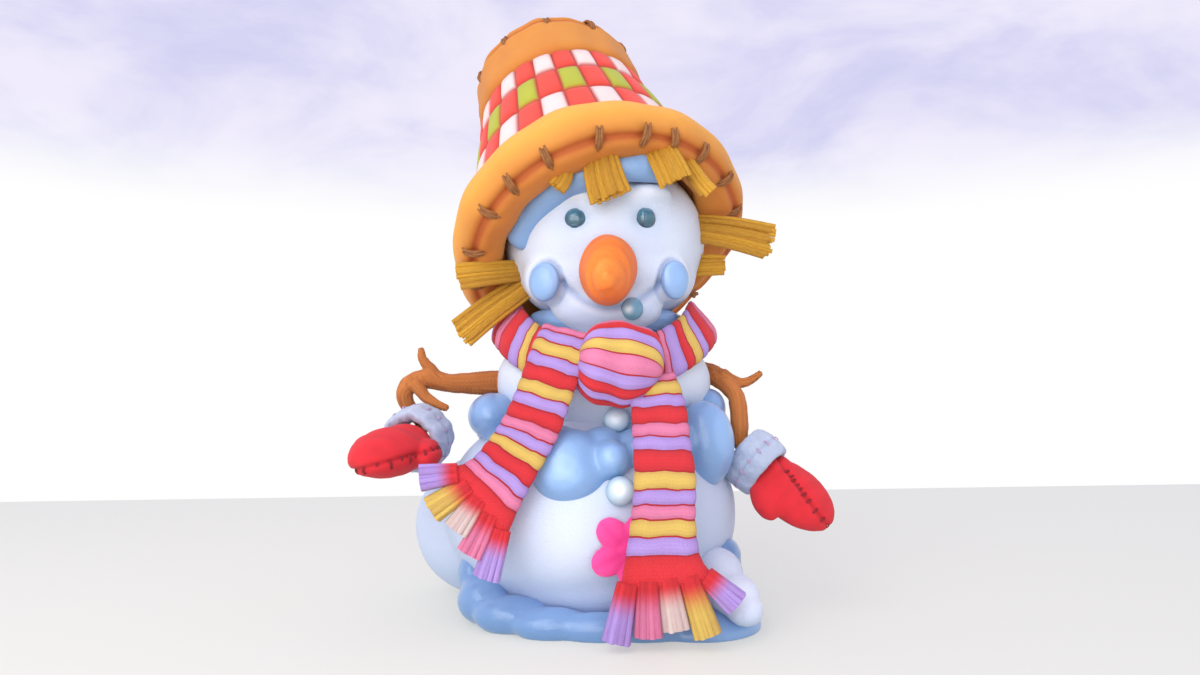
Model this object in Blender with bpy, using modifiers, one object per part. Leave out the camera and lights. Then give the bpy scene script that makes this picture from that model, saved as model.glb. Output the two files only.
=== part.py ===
"""A melting snowman in a basket hat, scarf and mittens, as separate solids.

Units are metres, +Z is up, the snowman faces -Y and the origin is on its flat underside.
Left and right are the viewer's, so left is -X.
"""
import math

import bmesh
import bpy
from mathutils import Matrix, Vector

GAP = 0.0003            # clearance between touching solids

BALL_RADIUS = 0.284     # lower snow ball
BALL_CENTRE = Vector((-0.02, 0.0, 0.185))
BALL_HEIGHT = 0.205     # its half height, settled by melting
CHEST_CENTRE = Vector((0.007, 0.0, 0.425))
CHEST_SIZE = Vector((0.213, 0.197, 0.13))
HEAD_CENTRE = Vector((0.009, -0.005, 0.705))
HEAD_SIZE = Vector((0.192, 0.185, 0.172))

NECK_CENTRE = Vector((0.010, -0.010, 0.543))
NECK_RADIUS = 0.136
NECK_THICK = 0.021
NECK_SIDES = 6
WAIST_RADIUS = 0.205
WAIST_HEIGHT = 0.340
WAIST_TILT = 0.026      # how much lower the belt of slush hangs at the front
WAIST_LUMPS = 18

HAT_CENTRE = Vector((0.004, -0.022, 0.708))
BRIM_LEAN = (math.radians(37), math.radians(20))    # away from the viewer, to the viewer's left
CROWN_LEAN = (math.radians(31), math.radians(15))   # the soft crown sags upright again
BRIM_RADIUS = 0.295
CROWN_FOOT = 0.030              # height of the crown's foot over the brim's middle
CROWN_FOOT_RADIUS = 0.262
CROWN_TOP = 0.372
CROWN_TOP_RADIUS = 0.184
CROWN_WALL = 0.012
CROWN_WAIST = 0.003             # how far the crown's wall draws in halfway up
TOP_ROLL_RADIUS = 0.190
TOP_ROLL_INNER = 0.115
TOP_ROLL_HEIGHT = 0.155
LID_RISE = 0.085                # the hat's top over the foot of the top roll
HAT_STEPS = 22
STRAW_THICK = 0.012
STRAW_ROOT = 0.055              # how far inside the brim's rim the straw starts

SCARF_THICK = 0.02
LOOP_THICK = 0.028
LOOP_REACH = Vector((0.196, 0.205, 0.0))
LOOP_CENTRE = Vector((0.008, 0.003, 0.452))
LOOP_RISE = 0.072               # how much higher the loop lies at the shoulders
LOOP_DROP = 0.024               # how much lower it lies at the back
LOOP_HALF_WIDTH = 0.048
LOOP_PINCH = 0.016              # how much narrower each half is at the back
LOOP_LEAN = 0.22
LOOP_STEPS = 14
TASSEL_SPACING = 0.44           # share of the hem's half width between two tassels
TWIG_RADII = [0.010, 0.009, 0.007, 0.004]
PETAL_REACH = 0.038
PETAL_TURN = -27               # degrees

SNOW = (0.86, 0.91, 0.97)
SLUSH = (0.42, 0.66, 0.90)
PEBBLE = (0.10, 0.24, 0.32)
ICE = (0.45, 0.68, 0.78)
CARROT = (0.90, 0.36, 0.08)
PINK = (1.0, 0.12, 0.36)
STRAW = (0.80, 0.52, 0.14)
PADDING = (0.82, 0.42, 0.10)
WEAVE = (0.88, 0.18, 0.10)
KNIT = (0.85, 0.10, 0.14)
WOOD = (0.60, 0.27, 0.11)
MITTEN = (0.78, 0.04, 0.05)
FLEECE = (0.72, 0.80, 0.90)
TASSELS = {"lavender": (0.60, 0.48, 0.85), "yellow": (0.85, 0.62, 0.15),
           "cream": (0.90, 0.78, 0.72), "pink": (0.90, 0.30, 0.50)}


def clear_scene():
    for old in list(bpy.data.objects):
        bpy.data.objects.remove(old, do_unlink=True)


def collection(name):
    made = bpy.data.collections.new(name)
    bpy.context.scene.collection.children.link(made)
    return made


def material(name, colour, roughness=0.6):
    made = bpy.data.materials.get(name)
    if made is None:
        made = bpy.data.materials.new(name)
        made.use_nodes = True
        shader = made.node_tree.nodes["Principled BSDF"]
        shader.inputs["Base Color"].default_value = (*colour, 1.0)
        shader.inputs["Roughness"].default_value = roughness
    return made


def add_object(name, mesh, finish=None, guide=False):
    made = bpy.data.objects.new(name, mesh)
    bpy.data.collections["cutters" if guide else "melting_snowman"].objects.link(made)
    if guide:
        made.hide_render = True
        made.display_type = "WIRE"
    if finish is not None:
        mesh.materials.clear()
        mesh.materials.append(finish)
    return made


def mesh_from(name, build):
    """A mesh filled by build(bm)."""
    mesh = bpy.data.meshes.new(name)
    bm = bmesh.new()
    build(bm)
    bm.to_mesh(mesh)
    bm.free()
    return mesh


def evaluated_mesh(obj):
    graph = bpy.context.evaluated_depsgraph_get()
    graph.update()
    return bpy.data.meshes.new_from_object(obj.evaluated_get(graph))


def settle(obj):
    """Replace an object's mesh by what its modifiers make of it, in flat triangles."""
    mesh = evaluated_mesh(obj)
    bm = bmesh.new()
    bm.from_mesh(mesh)
    bmesh.ops.triangulate(bm, faces=bm.faces)
    bm.to_mesh(mesh)
    bm.free()
    finish = obj.data.materials[0] if obj.data.materials else None
    obj.modifiers.clear()
    obj.data = mesh
    mesh.materials.clear()
    if finish is not None:
        mesh.materials.append(finish)
    return obj


def boolean(obj, cutter, operation="DIFFERENCE"):
    modifier = obj.modifiers.new(cutter.name, "BOOLEAN")
    modifier.operation = operation
    modifier.object = cutter
    return modifier


def grown(obj):
    """A guide solid of the object's own shape, larger by the clearance."""
    name = f"clear_{obj.name}"
    made = bpy.data.objects.get(name)
    if made is None:
        made = add_object(name, evaluated_mesh(obj), guide=True)
        made.matrix_world = obj.matrix_world
        swell = made.modifiers.new("clearance", "DISPLACE")
        swell.mid_level = 0.0
        swell.strength = GAP
    return made


def bed(host, *pieces):
    """Cut seats for the pieces into their host."""
    for piece in pieces:
        boolean(host, grown(piece))
    return settle(host)


def ellipsoid(bm, centre, size, turn=(0, 0, 0), segments=16, rings=10):
    spin = Matrix.Translation(Vector(centre))
    for angle, axis in zip(turn, "XYZ"):
        spin = spin @ Matrix.Rotation(math.radians(angle), 4, axis)
    matrix = spin @ Matrix.Diagonal((*size, 1.0))
    bmesh.ops.create_uvsphere(bm, u_segments=segments, v_segments=rings, radius=1.0, matrix=matrix)


def pebble(name, centre, size, finish, turn=(0, 0, 0), segments=12, rings=7):
    """One plain rounded lump."""
    mesh = mesh_from(name, lambda bm: ellipsoid(bm, centre, size, turn, segments, rings))
    return add_object(name, mesh, finish)


def soft_lump(name, shapes, finish, voxel, triangles, dents=(), smooth=4):
    """Overlapping rounded lumps melted into one soft body, with dents pressed in."""
    def build(bm):
        for shape in shapes:
            ellipsoid(bm, *shape, segments=24, rings=16)
    made = add_object(name, mesh_from(name, build), finish)

    def melt():
        remesh = made.modifiers.new("melt", "REMESH")
        remesh.mode = "VOXEL"
        remesh.voxel_size = voxel
    melt()
    if dents:
        def press(bm):
            for dent in dents:
                ellipsoid(bm, *dent, segments=24, rings=16)
        tool = add_object(f"{name}_dents", mesh_from(f"{name}_dents", press), guide=True)
        boolean(made, tool)
        melt()
    soften = made.modifiers.new("soften", "SMOOTH")
    soften.factor = 0.5
    soften.iterations = smooth
    settle(made)
    made.data.calc_loop_triangles()
    thin = made.modifiers.new("thin", "DECIMATE")
    thin.ratio = min(1.0, triangles / len(made.data.loop_triangles))
    return settle(made)


def cut_floor(obj):
    """Cut an object off flat at z = 0."""
    ground = bpy.data.objects.get("ground")
    if ground is None:
        def build(bm):
            bmesh.ops.create_cube(bm, size=1.0)
            bmesh.ops.scale(bm, vec=(1.4, 1.4, 0.4), verts=bm.verts)
            bmesh.ops.translate(bm, vec=(0.0, 0.0, -0.2), verts=bm.verts)
        ground = add_object("ground", mesh_from("ground", build), guide=True)
    boolean(obj, ground)
    return settle(obj)


def turned(name, profile, finish, matrix=Matrix.Identity(4), steps=32, closed=True, squash=1.0):
    """A profile of (radius, height) points turned about Z, then placed by the matrix."""
    def build(bm):
        corners = [bm.verts.new((radius, 0.0, height)) for radius, height in profile]
        pairs = zip(corners, corners[1:] + corners[:1]) if closed else zip(corners, corners[1:])
        for first, second in pairs:
            bm.edges.new((first, second))
    made = add_object(name, mesh_from(name, build), finish)
    screw = made.modifiers.new("turn", "SCREW")
    screw.steps = steps
    screw.render_steps = steps
    screw.use_merge_vertices = True
    screw.merge_threshold = 0.0001
    settle(made)
    made.data.transform(matrix @ Matrix.Diagonal((1.0, squash, 1.0, 1.0)))
    outward(made)
    return made


def outward(obj):
    """Turn all faces out."""
    bm = bmesh.new()
    bm.from_mesh(obj.data)
    bmesh.ops.remove_doubles(bm, verts=bm.verts, dist=0.00005)
    bmesh.ops.recalc_face_normals(bm, faces=bm.faces)
    bm.to_mesh(obj.data)
    bm.free()


def aim(origin, direction, side=(1, 0, 0)):
    """A frame at origin with Z along direction and X as near to side as it can be."""
    z = Vector(direction).normalized()
    x = Vector(side) - z * Vector(side).dot(z)
    x.normalize()
    y = z.cross(x)
    frame = Matrix((x, y, z)).transposed().to_4x4()
    frame.translation = Vector(origin)
    return frame


def band(name, stations, finish, thick, closed=False):
    """A strip of cloth: each station is (centre, across), across being half its width."""
    def build(bm):
        rows = []
        for centre, across in stations:
            centre, across = Vector(centre), Vector(across)
            rows.append([bm.verts.new(centre + across * place) for place in (-1.0, 0.0, 1.0)])
        pairs = list(zip(rows, rows[1:]))
        if closed:
            pairs.append((rows[-1], rows[0]))
        for first, second in pairs:
            for k in range(2):
                bm.faces.new((first[k], first[k + 1], second[k + 1], second[k]))
    made = add_object(name, mesh_from(name, build), finish)
    swell = made.modifiers.new("thickness", "SOLIDIFY")
    swell.thickness = thick
    swell.offset = 0.0
    settle(made)
    outward(made)
    return made


def stick(name, points, radii, finish):
    """A twig along the points, as thick as the radii say."""
    curve = bpy.data.curves.new(name, "CURVE")
    curve.dimensions = "3D"
    curve.bevel_depth = 1.0
    curve.bevel_resolution = 1
    curve.use_fill_caps = True
    spline = curve.splines.new("POLY")
    spline.points.add(len(points) - 1)
    for knot, place, radius in zip(spline.points, points, radii):
        knot.co = (*place, 1.0)
        knot.radius = radius
    guide = bpy.data.objects.new(f"{name}_path", curve)
    bpy.data.collections["cutters"].objects.link(guide)
    mesh = evaluated_mesh(guide)
    bpy.data.objects.remove(guide, do_unlink=True)
    made = add_object(name, mesh, finish)
    outward(made)
    return made


def make_lower_ball():
    x, y, z = BALL_CENTRE
    shapes = [
        (BALL_CENTRE, (BALL_RADIUS, BALL_RADIUS, BALL_HEIGHT)),
        ((x - 0.21, y + 0.06, z - 0.045), (0.145, 0.14, 0.14)),
        ((x + 0.12, y, z - 0.01), (0.165, 0.20, 0.175)),
        ((x + 0.02, y, z - 0.10), (0.245, 0.240, 0.13)),
    ]
    return cut_floor(soft_lump("lower_snow_ball", shapes, material("snow", SNOW), 0.02, 450))


def make_chest():
    return soft_lump("middle_snow_ball", [(CHEST_CENTRE, CHEST_SIZE)], material("snow", SNOW), 0.02, 200)


def make_head():
    x, y, z = HEAD_CENTRE
    shapes = [
        (HEAD_CENTRE, HEAD_SIZE),
        ((x + 0.004, y - 0.03, z - 0.070), (0.176, 0.148, 0.100)),
        ((x - 0.055, y - 0.140, z + 0.062), (0.055, 0.042, 0.022)),
        ((x + 0.075, y - 0.140, z + 0.064), (0.050, 0.042, 0.022)),
        ((x + 0.004, y - 0.150, z + 0.010), (0.026, 0.040, 0.060)),
        ((x - 0.105, y - 0.112, z - 0.092), (0.060, 0.050, 0.058)),
        ((x + 0.120, y - 0.105, z - 0.090), (0.052, 0.050, 0.056)),
        ((x + 0.004, y - 0.122, z - 0.130), (0.075, 0.045, 0.036)),
    ]
    dents = [
        ((-0.046, -0.212, 0.720), (0.040, 0.040, 0.034)),
        ((0.084, -0.210, 0.721), (0.038, 0.040, 0.034)),
    ]
    return soft_lump("snow_head", shapes, material("snow", SNOW), 0.012, 520, dents, smooth=3)


def make_neck_slush():
    """A ring of slush squeezed out between the chest and the chin."""
    profile = []
    for k in range(NECK_SIDES):
        angle = 2 * math.pi * k / NECK_SIDES
        profile.append((NECK_RADIUS + NECK_THICK * math.cos(angle), NECK_THICK * math.sin(angle)))
    frame = Matrix.Translation(NECK_CENTRE)
    return turned("neck_slush", profile, material("slush", SLUSH), frame, 14, squash=0.9)


def make_waist_slush():
    shapes = []
    for k in range(WAIST_LUMPS):
        angle = 2 * math.pi * k / WAIST_LUMPS
        size = 0.038 + 0.006 * math.sin(3 * angle)
        place = (WAIST_RADIUS * math.sin(angle) + 0.002, -WAIST_RADIUS * math.cos(angle),
                 WAIST_HEIGHT - WAIST_TILT * math.cos(angle))
        shapes.append((place, (size, size, 0.034)))
    shapes += [
        ((-0.057, -0.228, 0.282), (0.070, 0.050, 0.064)),
        ((-0.140, -0.190, 0.312), (0.052, 0.048, 0.048)),
        ((0.020, -0.248, 0.292), (0.033, 0.032, 0.034)),
        ((0.092, -0.218, 0.305), (0.058, 0.042, 0.042)),
        ((0.190, -0.135, 0.312), (0.055, 0.060, 0.080)),
        ((0.212, -0.030, 0.375), (0.034, 0.055, 0.040)),
        ((-0.203, -0.085, 0.362), (0.046, 0.070, 0.044)),
        ((-0.130, 0.185, 0.310), (0.075, 0.055, 0.055)),
        ((0.110, 0.195, 0.305), (0.070, 0.050, 0.060)),
    ]
    return soft_lump("waist_slush", shapes, material("slush", SLUSH), 0.015, 345, smooth=3)


def make_drip():
    shapes = [
        ((0.205, -0.150, 0.085), (0.050, 0.060, 0.045)),
        ((0.228, -0.205, 0.060), (0.045, 0.060, 0.036)),
        ((0.240, -0.245, 0.045), (0.032, 0.045, 0.026)),
    ]
    return soft_lump("slush_drip", shapes, material("snow", SNOW), 0.010, 110)


def make_base_slush():
    shapes = [
        ((0.000, 0.025, 0.000), (0.260, 0.250, 0.044)),
        ((-0.045, -0.110, 0.003), (0.130, 0.138, 0.044)),
        ((0.165, -0.165, 0.004), (0.118, 0.114, 0.045)),
        ((0.030, 0.130, 0.000), (0.240, 0.160, 0.040)),
        ((0.225, -0.060, 0.020), (0.052, 0.110, 0.050)),
        ((0.228, -0.080, 0.105), (0.036, 0.055, 0.034)),
        ((0.228, -0.075, 0.065), (0.040, 0.070, 0.050)),
    ]
    return cut_floor(soft_lump("base_slush", shapes, material("slush", SLUSH), 0.014, 215))


def make_face():
    pebble_finish = material("pebble", PEBBLE, 0.15)
    eyes = [
        pebble("left_eye", (-0.044, -0.168, 0.719), (0.0215, 0.019, 0.0215), pebble_finish, segments=10),
        pebble("right_eye", (0.082, -0.167, 0.720), (0.0195, 0.018, 0.0215), pebble_finish, segments=10),
    ]
    slush = material("slush", SLUSH)
    cheeks = [
        pebble("left_cheek", (-0.101, -0.160, 0.606), (0.030, 0.016, 0.036), slush, (0, 0, -22)),
        pebble("right_cheek", (0.137, -0.150, 0.611), (0.028, 0.016, 0.036), slush, (0, 0, 26)),
    ]
    mouth = pebble("mouth_lump", (0.058, -0.160, 0.557), (0.021, 0.016, 0.021), slush, (0, 0, 15), 10, 6)
    profile = [(0.0, -0.030), (0.028, -0.030), (0.042, -0.004), (0.0465, 0.028), (0.043, 0.062),
               (0.034, 0.100), (0.021, 0.128), (0.010, 0.146), (0.0, 0.150)]
    frame = aim((0.016, -0.150, 0.636), (-0.008, -0.180, -0.060))
    nose = turned("carrot_nose", profile, material("carrot", CARROT), frame, 12, closed=False, squash=1.22)
    return eyes + [nose], cheeks + [mouth]


def make_buttons():
    ice = material("ice", ICE, 0.1)
    return [
        pebble("upper_button", (0.029, -0.186, 0.357), (0.0235, 0.022, 0.0235), ice),
        pebble("lower_button", (0.034, -0.273, 0.243), (0.0250, 0.023, 0.0250), ice),
    ]


def make_flower():
    centre = Vector((0.047, -0.286, 0.149))
    shapes = [(centre, (0.020, 0.010, 0.020))]
    for k in range(5):
        angle = math.radians(90 + 72 * k + PETAL_TURN)
        shift = Vector((math.cos(angle), 0.0, math.sin(angle))) * PETAL_REACH
        shapes.append((centre + shift, (0.028, 0.008, 0.024), (0, -math.degrees(angle), 0)))
    return soft_lump("flower", shapes, material("flower", PINK), 0.005, 130, smooth=2)


def hat_frame(lean):
    back, side = lean
    return (Matrix.Translation(HAT_CENTRE) @ Matrix.Rotation(-side, 4, "Y")
            @ Matrix.Rotation(-back, 4, "X"))


def make_hat():
    padding = material("padding", PADDING)
    outer = BRIM_RADIUS
    brim_profile = [
        (outer - 0.096, -0.010), (outer - 0.070, -0.042), (outer - 0.026, -0.040), (outer, -0.004),
        (outer - 0.006, 0.038), (outer - 0.036, 0.068), (outer - 0.078, 0.054),
    ]
    brim = turned("hat_brim", brim_profile, padding, hat_frame(BRIM_LEAN), HAT_STEPS)
    frame = hat_frame(CROWN_LEAN)
    foot, top, wall = CROWN_FOOT_RADIUS, CROWN_TOP_RADIUS, CROWN_WALL
    seat = CROWN_TOP - GAP
    middle, halfway = (foot + top) / 2 - CROWN_WAIST, (CROWN_FOOT + seat) / 2
    crown_profile = [
        (foot, CROWN_FOOT), (middle, halfway), (top, seat), (top - wall, seat),
        (middle - wall, halfway), (foot - wall, CROWN_FOOT),
    ]
    crown = turned("hat_crown", crown_profile, material("weave", WEAVE), frame, HAT_STEPS)
    bed(crown, brim)
    radius, inner, high = TOP_ROLL_RADIUS, TOP_ROLL_INNER, TOP_ROLL_HEIGHT
    roll_profile = [
        (inner + 0.010, CROWN_TOP), (radius - 0.004, CROWN_TOP), (radius, CROWN_TOP + 0.050),
        (radius - 0.010, CROWN_TOP + high - 0.040), (radius - 0.034, CROWN_TOP + high),
        (radius - 0.062, CROWN_TOP + high - 0.008), (inner, CROWN_TOP + high - 0.050),
    ]
    turned("hat_top_roll", roll_profile, padding, frame, HAT_STEPS)
    lid, level = inner * 0.97, CROWN_TOP + LID_RISE
    lid_profile = [(0.0, level + 0.012), (lid, level + 0.006), (lid, level - 0.006), (0.0, level)]
    turned("hat_top", lid_profile, material("weave", WEAVE), frame, HAT_STEPS, closed=False)
    return brim


STRAWS = {
    # near the root, middle and tip of each tuft, with half widths at its root and tip
    "straw_front": ((-0.004, -0.200, 0.842), (0.009, -0.226, 0.782),
                    (0.022, -0.228, 0.742), 0.028, 0.038),
    "straw_front_small": ((-0.053, -0.190, 0.825), (-0.067, -0.218, 0.784),
                          (-0.080, -0.220, 0.765), 0.014, 0.017),
    "straw_right": ((0.106, -0.200, 0.842), (0.120, -0.222, 0.800),
                    (0.132, -0.222, 0.772), 0.028, 0.032),
    "straw_right_small": ((0.160, -0.180, 0.815), (0.180, -0.198, 0.782),
                          (0.198, -0.200, 0.761), 0.012, 0.015),
    "straw_side_left": ((-0.150, -0.070, 0.640), (-0.226, -0.126, 0.624),
                        (-0.266, -0.130, 0.618), 0.020, 0.026),
    "straw_long_left": ((-0.130, -0.060, 0.625), (-0.205, -0.092, 0.566),
                        (-0.268, -0.098, 0.514), 0.024, 0.030),
    "straw_big_right": ((0.145, -0.040, 0.734), (0.250, -0.085, 0.710),
                        (0.325, -0.085, 0.692), 0.026, 0.042),
    "straw_low_right": ((0.140, -0.020, 0.656), (0.212, -0.048, 0.656),
                        (0.245, -0.050, 0.656), 0.024, 0.018),
}
STRAWS_IN_HEAD = ("straw_side_left", "straw_long_left", "straw_big_right", "straw_low_right")


def in_brim(point):
    """The place in the middle of the brim's padding that is nearest to a point."""
    frame = hat_frame(BRIM_LEAN)
    local = frame.inverted() @ Vector(point)
    return frame @ (Vector((local.x, local.y, 0.0)).normalized() * (BRIM_RADIUS - STRAW_ROOT))


def make_straw():
    finish = material("straw", STRAW)
    made = []
    for name, (root, middle, tip, narrow, wide) in STRAWS.items():
        root = Vector(root) if name in STRAWS_IN_HEAD else in_brim(root)
        middle, tip = Vector(middle), Vector(tip)
        along = (tip - root).normalized()
        across = along.cross(Vector((0.0, -1.0, 0.0))).normalized()
        stations = [(root, across * narrow), (middle, across * (narrow + wide) / 2), (tip, across * wide)]
        made.append(band(name, stations, finish, STRAW_THICK))
    return made


def make_brow_slush():
    route = [(0.118, -0.170, 0.812), (0.070, -0.186, 0.812), (0.020, -0.190, 0.806),
             (-0.030, -0.186, 0.798), (-0.075, -0.172, 0.782), (-0.112, -0.152, 0.757),
             (-0.138, -0.130, 0.728), (-0.148, -0.118, 0.706)]
    shapes = [(place, (0.034, 0.020, 0.022), (0, 8 + 9 * k, 0)) for k, place in enumerate(route)]
    return soft_lump("brow_slush", shapes, material("slush", SLUSH), 0.009, 140, smooth=2)


def loop_stations():
    """The scarf's loop: low at the front and back, high over the shoulders."""
    stations = []
    for k in range(LOOP_STEPS):
        angle = 2 * math.pi * k / LOOP_STEPS
        sine, cosine = math.sin(angle), math.cos(angle)
        behind = max(0.0, -cosine)
        rise = LOOP_RISE * sine * sine - LOOP_DROP * behind
        place = LOOP_CENTRE + Vector((-sine * LOOP_REACH.x, -cosine * LOOP_REACH.y, rise))
        lean = Vector((sine * LOOP_LEAN, cosine * LOOP_LEAN, 1.0)).normalized()
        stations.append((place, lean * (LOOP_HALF_WIDTH - LOOP_PINCH * behind)))
    return stations


RIGHT_END = [
    ((0.084, -0.240, 0.435), (0.042, 0.0, 0.004)),
    ((0.097, -0.262, 0.385), (0.045, 0.0, 0.002)),
    ((0.101, -0.294, 0.318), (0.047, 0.0, 0.0)),
    ((0.104, -0.312, 0.264), (0.049, 0.0, 0.0)),
    ((0.100, -0.320, 0.198), (0.051, 0.0, 0.0)),
    ((0.100, -0.322, 0.140), (0.060, 0.0, 0.002)),
    ((0.110, -0.322, 0.098), (0.078, 0.0, 0.010)),
]
LEFT_END = [
    ((-0.057, -0.236, 0.514), (0.038, -0.004, -0.009)),
    ((-0.070, -0.252, 0.473), (0.043, -0.004, -0.014)),
    ((-0.097, -0.270, 0.392), (0.044, -0.002, -0.013)),
    ((-0.117, -0.280, 0.343), (0.044, 0.0, -0.017)),
    ((-0.145, -0.290, 0.296), (0.040, 0.0, -0.027)),
    ((-0.170, -0.298, 0.259), (0.041, 0.0, -0.036)),
    ((-0.203, -0.306, 0.222), (0.047, 0.0, -0.058)),
]
# the tassels of each end from left to right: direction and length
LEFT_TASSELS = {
    "lavender_1": ((-0.99, -0.05, -0.13), 0.045), "yellow_1": ((-0.83, -0.05, -0.56), 0.056),
    "cream_1": ((-0.56, 0.0, -0.83), 0.046), "pink_1": ((-0.44, 0.0, -0.90), 0.056),
    "lavender_2": ((-0.28, 0.0, -0.96), 0.065),
}
RIGHT_TASSELS = {
    "lavender_3": ((-0.19, 0.0, -0.98), 0.078), "pink_2": ((0.02, 0.0, -1.0), 0.072),
    "cream_2": ((0.17, 0.0, -0.98), 0.066), "yellow_2": ((0.32, 0.0, -0.95), 0.082),
    "lavender_4": ((0.76, 0.0, -0.65), 0.050),
}


def make_scarf():
    knit = material("knit", KNIT)
    scarf = band("scarf", loop_stations(), knit, LOOP_THICK, closed=True)
    knot = soft_lump("scarf_knot", [((0.034, -0.240, 0.452), (0.076, 0.046, 0.074))], knit, 0.016, 120)
    right = band("scarf_right_end", RIGHT_END, knit, SCARF_THICK)
    left = band("scarf_left_end", LEFT_END, knit, SCARF_THICK)
    for piece in (knot, right, left):
        bpy.data.collections["melting_snowman"].objects.unlink(piece)
        bpy.data.collections["cutters"].objects.link(piece)
        piece.hide_render = True
        piece.display_type = "WIRE"
        boolean(scarf, piece, "UNION")
    settle(scarf)
    return scarf


def make_tassels(scarf):
    for (centre, across), hung in ((LEFT_END[-1], LEFT_TASSELS), (RIGHT_END[-1], RIGHT_TASSELS)):
        for k, (name, (along, length)) in enumerate(hung.items()):
            root = Vector(centre) + Vector(across) * (TASSEL_SPACING * (k - 2))
            along = Vector(along).normalized()
            profile = [(0.0, 0.0), (0.011, 0.0), (0.0162, length * 0.75), (0.013, length), (0.0, length)]
            colour = name.split("_")[0]
            tassel = turned(f"tassel_{name}", profile, material(colour, TASSELS[colour]),
                            aim(root + along * GAP, along), 6, closed=False)
            bed(tassel, scarf)


def make_arms():
    wood = material("twig", WOOD)
    left = stick("left_arm", [(-0.165, -0.010, 0.424), (-0.225, -0.025, 0.424), (-0.290, -0.050, 0.424),
                              (-0.330, -0.060, 0.432), (-0.362, -0.066, 0.424), (-0.375, -0.064, 0.400),
                              (-0.364, -0.054, 0.372), (-0.346, -0.054, 0.350), (-0.338, -0.080, 0.332),
                              (-0.344, -0.115, 0.320), (-0.350, -0.150, 0.312)],
                 [0.025, 0.022, 0.016, 0.017, 0.015, 0.014, 0.012, 0.011, 0.010, 0.010, 0.010], wood)
    left_up = stick("left_twig_up", [(-0.310, -0.056, 0.428), (-0.328, -0.058, 0.452),
                                     (-0.342, -0.058, 0.470), (-0.346, -0.058, 0.492)], TWIG_RADII, wood)
    left_low = stick("left_twig_low", [(-0.352, -0.078, 0.424), (-0.330, -0.084, 0.398),
                                       (-0.308, -0.090, 0.384), (-0.286, -0.092, 0.376)], TWIG_RADII, wood)
    right = stick("right_arm", [(0.160, 0.030, 0.444), (0.205, 0.015, 0.447), (0.236, -0.010, 0.436),
                                (0.262, -0.032, 0.416), (0.276, -0.048, 0.390), (0.276, -0.062, 0.345),
                                (0.274, -0.072, 0.308), (0.290, -0.084, 0.280), (0.316, -0.100, 0.252)],
                  [0.020, 0.018, 0.017, 0.015, 0.014, 0.014, 0.012, 0.010, 0.010], wood)
    right_twig = stick("right_twig", [(0.238, -0.022, 0.442), (0.268, -0.024, 0.426),
                                      (0.292, -0.024, 0.428), (0.318, -0.024, 0.446)], TWIG_RADII, wood)
    bed(left_up, left)
    bed(left_low, left)
    bed(right_twig, right)
    return left, right


MITTENS = {
    # wrist, direction of the fingers, side of the thumb
    "left": ((-0.342, -0.118, 0.318), (-0.30, -0.92, -0.24), (1.0, 0.0, -0.1), 0.98),
    "right": ((0.300, -0.092, 0.268), (0.70, -0.36, -0.62), (-0.5, -0.5, -0.5), 0.92),
}


def make_mittens(arms):
    wool = material("mitten", MITTEN)
    fleece = material("fleece", FLEECE)
    for arm, (side, (wrist, fingers, thumb, scale)) in zip(arms, MITTENS.items()):
        frame = aim(wrist, fingers, thumb) @ Matrix.Diagonal((scale, scale, scale, 1.0))
        shapes = [((0.0, 0.0, 0.085), (0.062, 0.040, 0.090)), ((0.0, 0.0, 0.035), (0.050, 0.038, 0.050)),
                  ((0.058, 0.0, 0.055), (0.026, 0.024, 0.044), (0, 30, 0))]
        mitten = soft_lump(f"{side}_mitten", shapes, wool, 0.010, 130)
        mitten.data.transform(frame)
        cuff_profile = [(0.042, -0.048), (0.058, -0.046), (0.064, -0.016), (0.058, 0.018), (0.042, 0.014),
                        (0.034, -0.014)]
        cuff = turned(f"{side}_cuff", cuff_profile, fleece, frame, 14)
        bed(mitten, cuff, arm)
        bed(cuff, arm)


def main():
    clear_scene()
    collection("melting_snowman")
    collection("cutters")
    ball = make_lower_ball()
    chest = make_chest()
    head = make_head()
    sunk, pressed = make_face()
    neck = make_neck_slush()
    waist = make_waist_slush()
    drip = make_drip()
    base = make_base_slush()
    upper_button, lower_button = make_buttons()
    flower = make_flower()
    brim = make_hat()
    straws = make_straw()
    brow = make_brow_slush()
    arms = make_arms()
    make_mittens(arms)
    for host in (ball, chest, head, brim):
        grown(host)
    for piece in (brow, *pressed):
        bed(piece, head)
    for straw in straws:
        bed(straw, brim, brow, head)
    bed(upper_button, chest, ball)
    bed(lower_button, ball)
    bed(flower, ball)
    bed(neck, chest, head, brim)
    bed(waist, ball, chest, upper_button, lower_button)
    bed(drip, ball)
    bed(base, ball, drip)
    bed(brim, head, chest, brow)
    bed(chest, ball, head, *arms)
    bed(head, *sunk)
    scarf = make_scarf()
    bed(scarf, chest, brim)
    for straw in straws:
        if straw.name in STRAWS_IN_HEAD:
            bed(straw, scarf)
    side_straw, long_straw = straws[4:6]
    bed(long_straw, side_straw)
    make_tassels(scarf)


main()
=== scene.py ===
"""Looks of a melting snowman: snow, wet slush, laced hat, straw, knit scarf, twigs and mittens.

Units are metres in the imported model's frame: +Z is up, the snowman faces -Y and left is -X.
"""
import math

import bmesh
import bpy
import numpy as np
from mathutils import Matrix, Vector, noise


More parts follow.
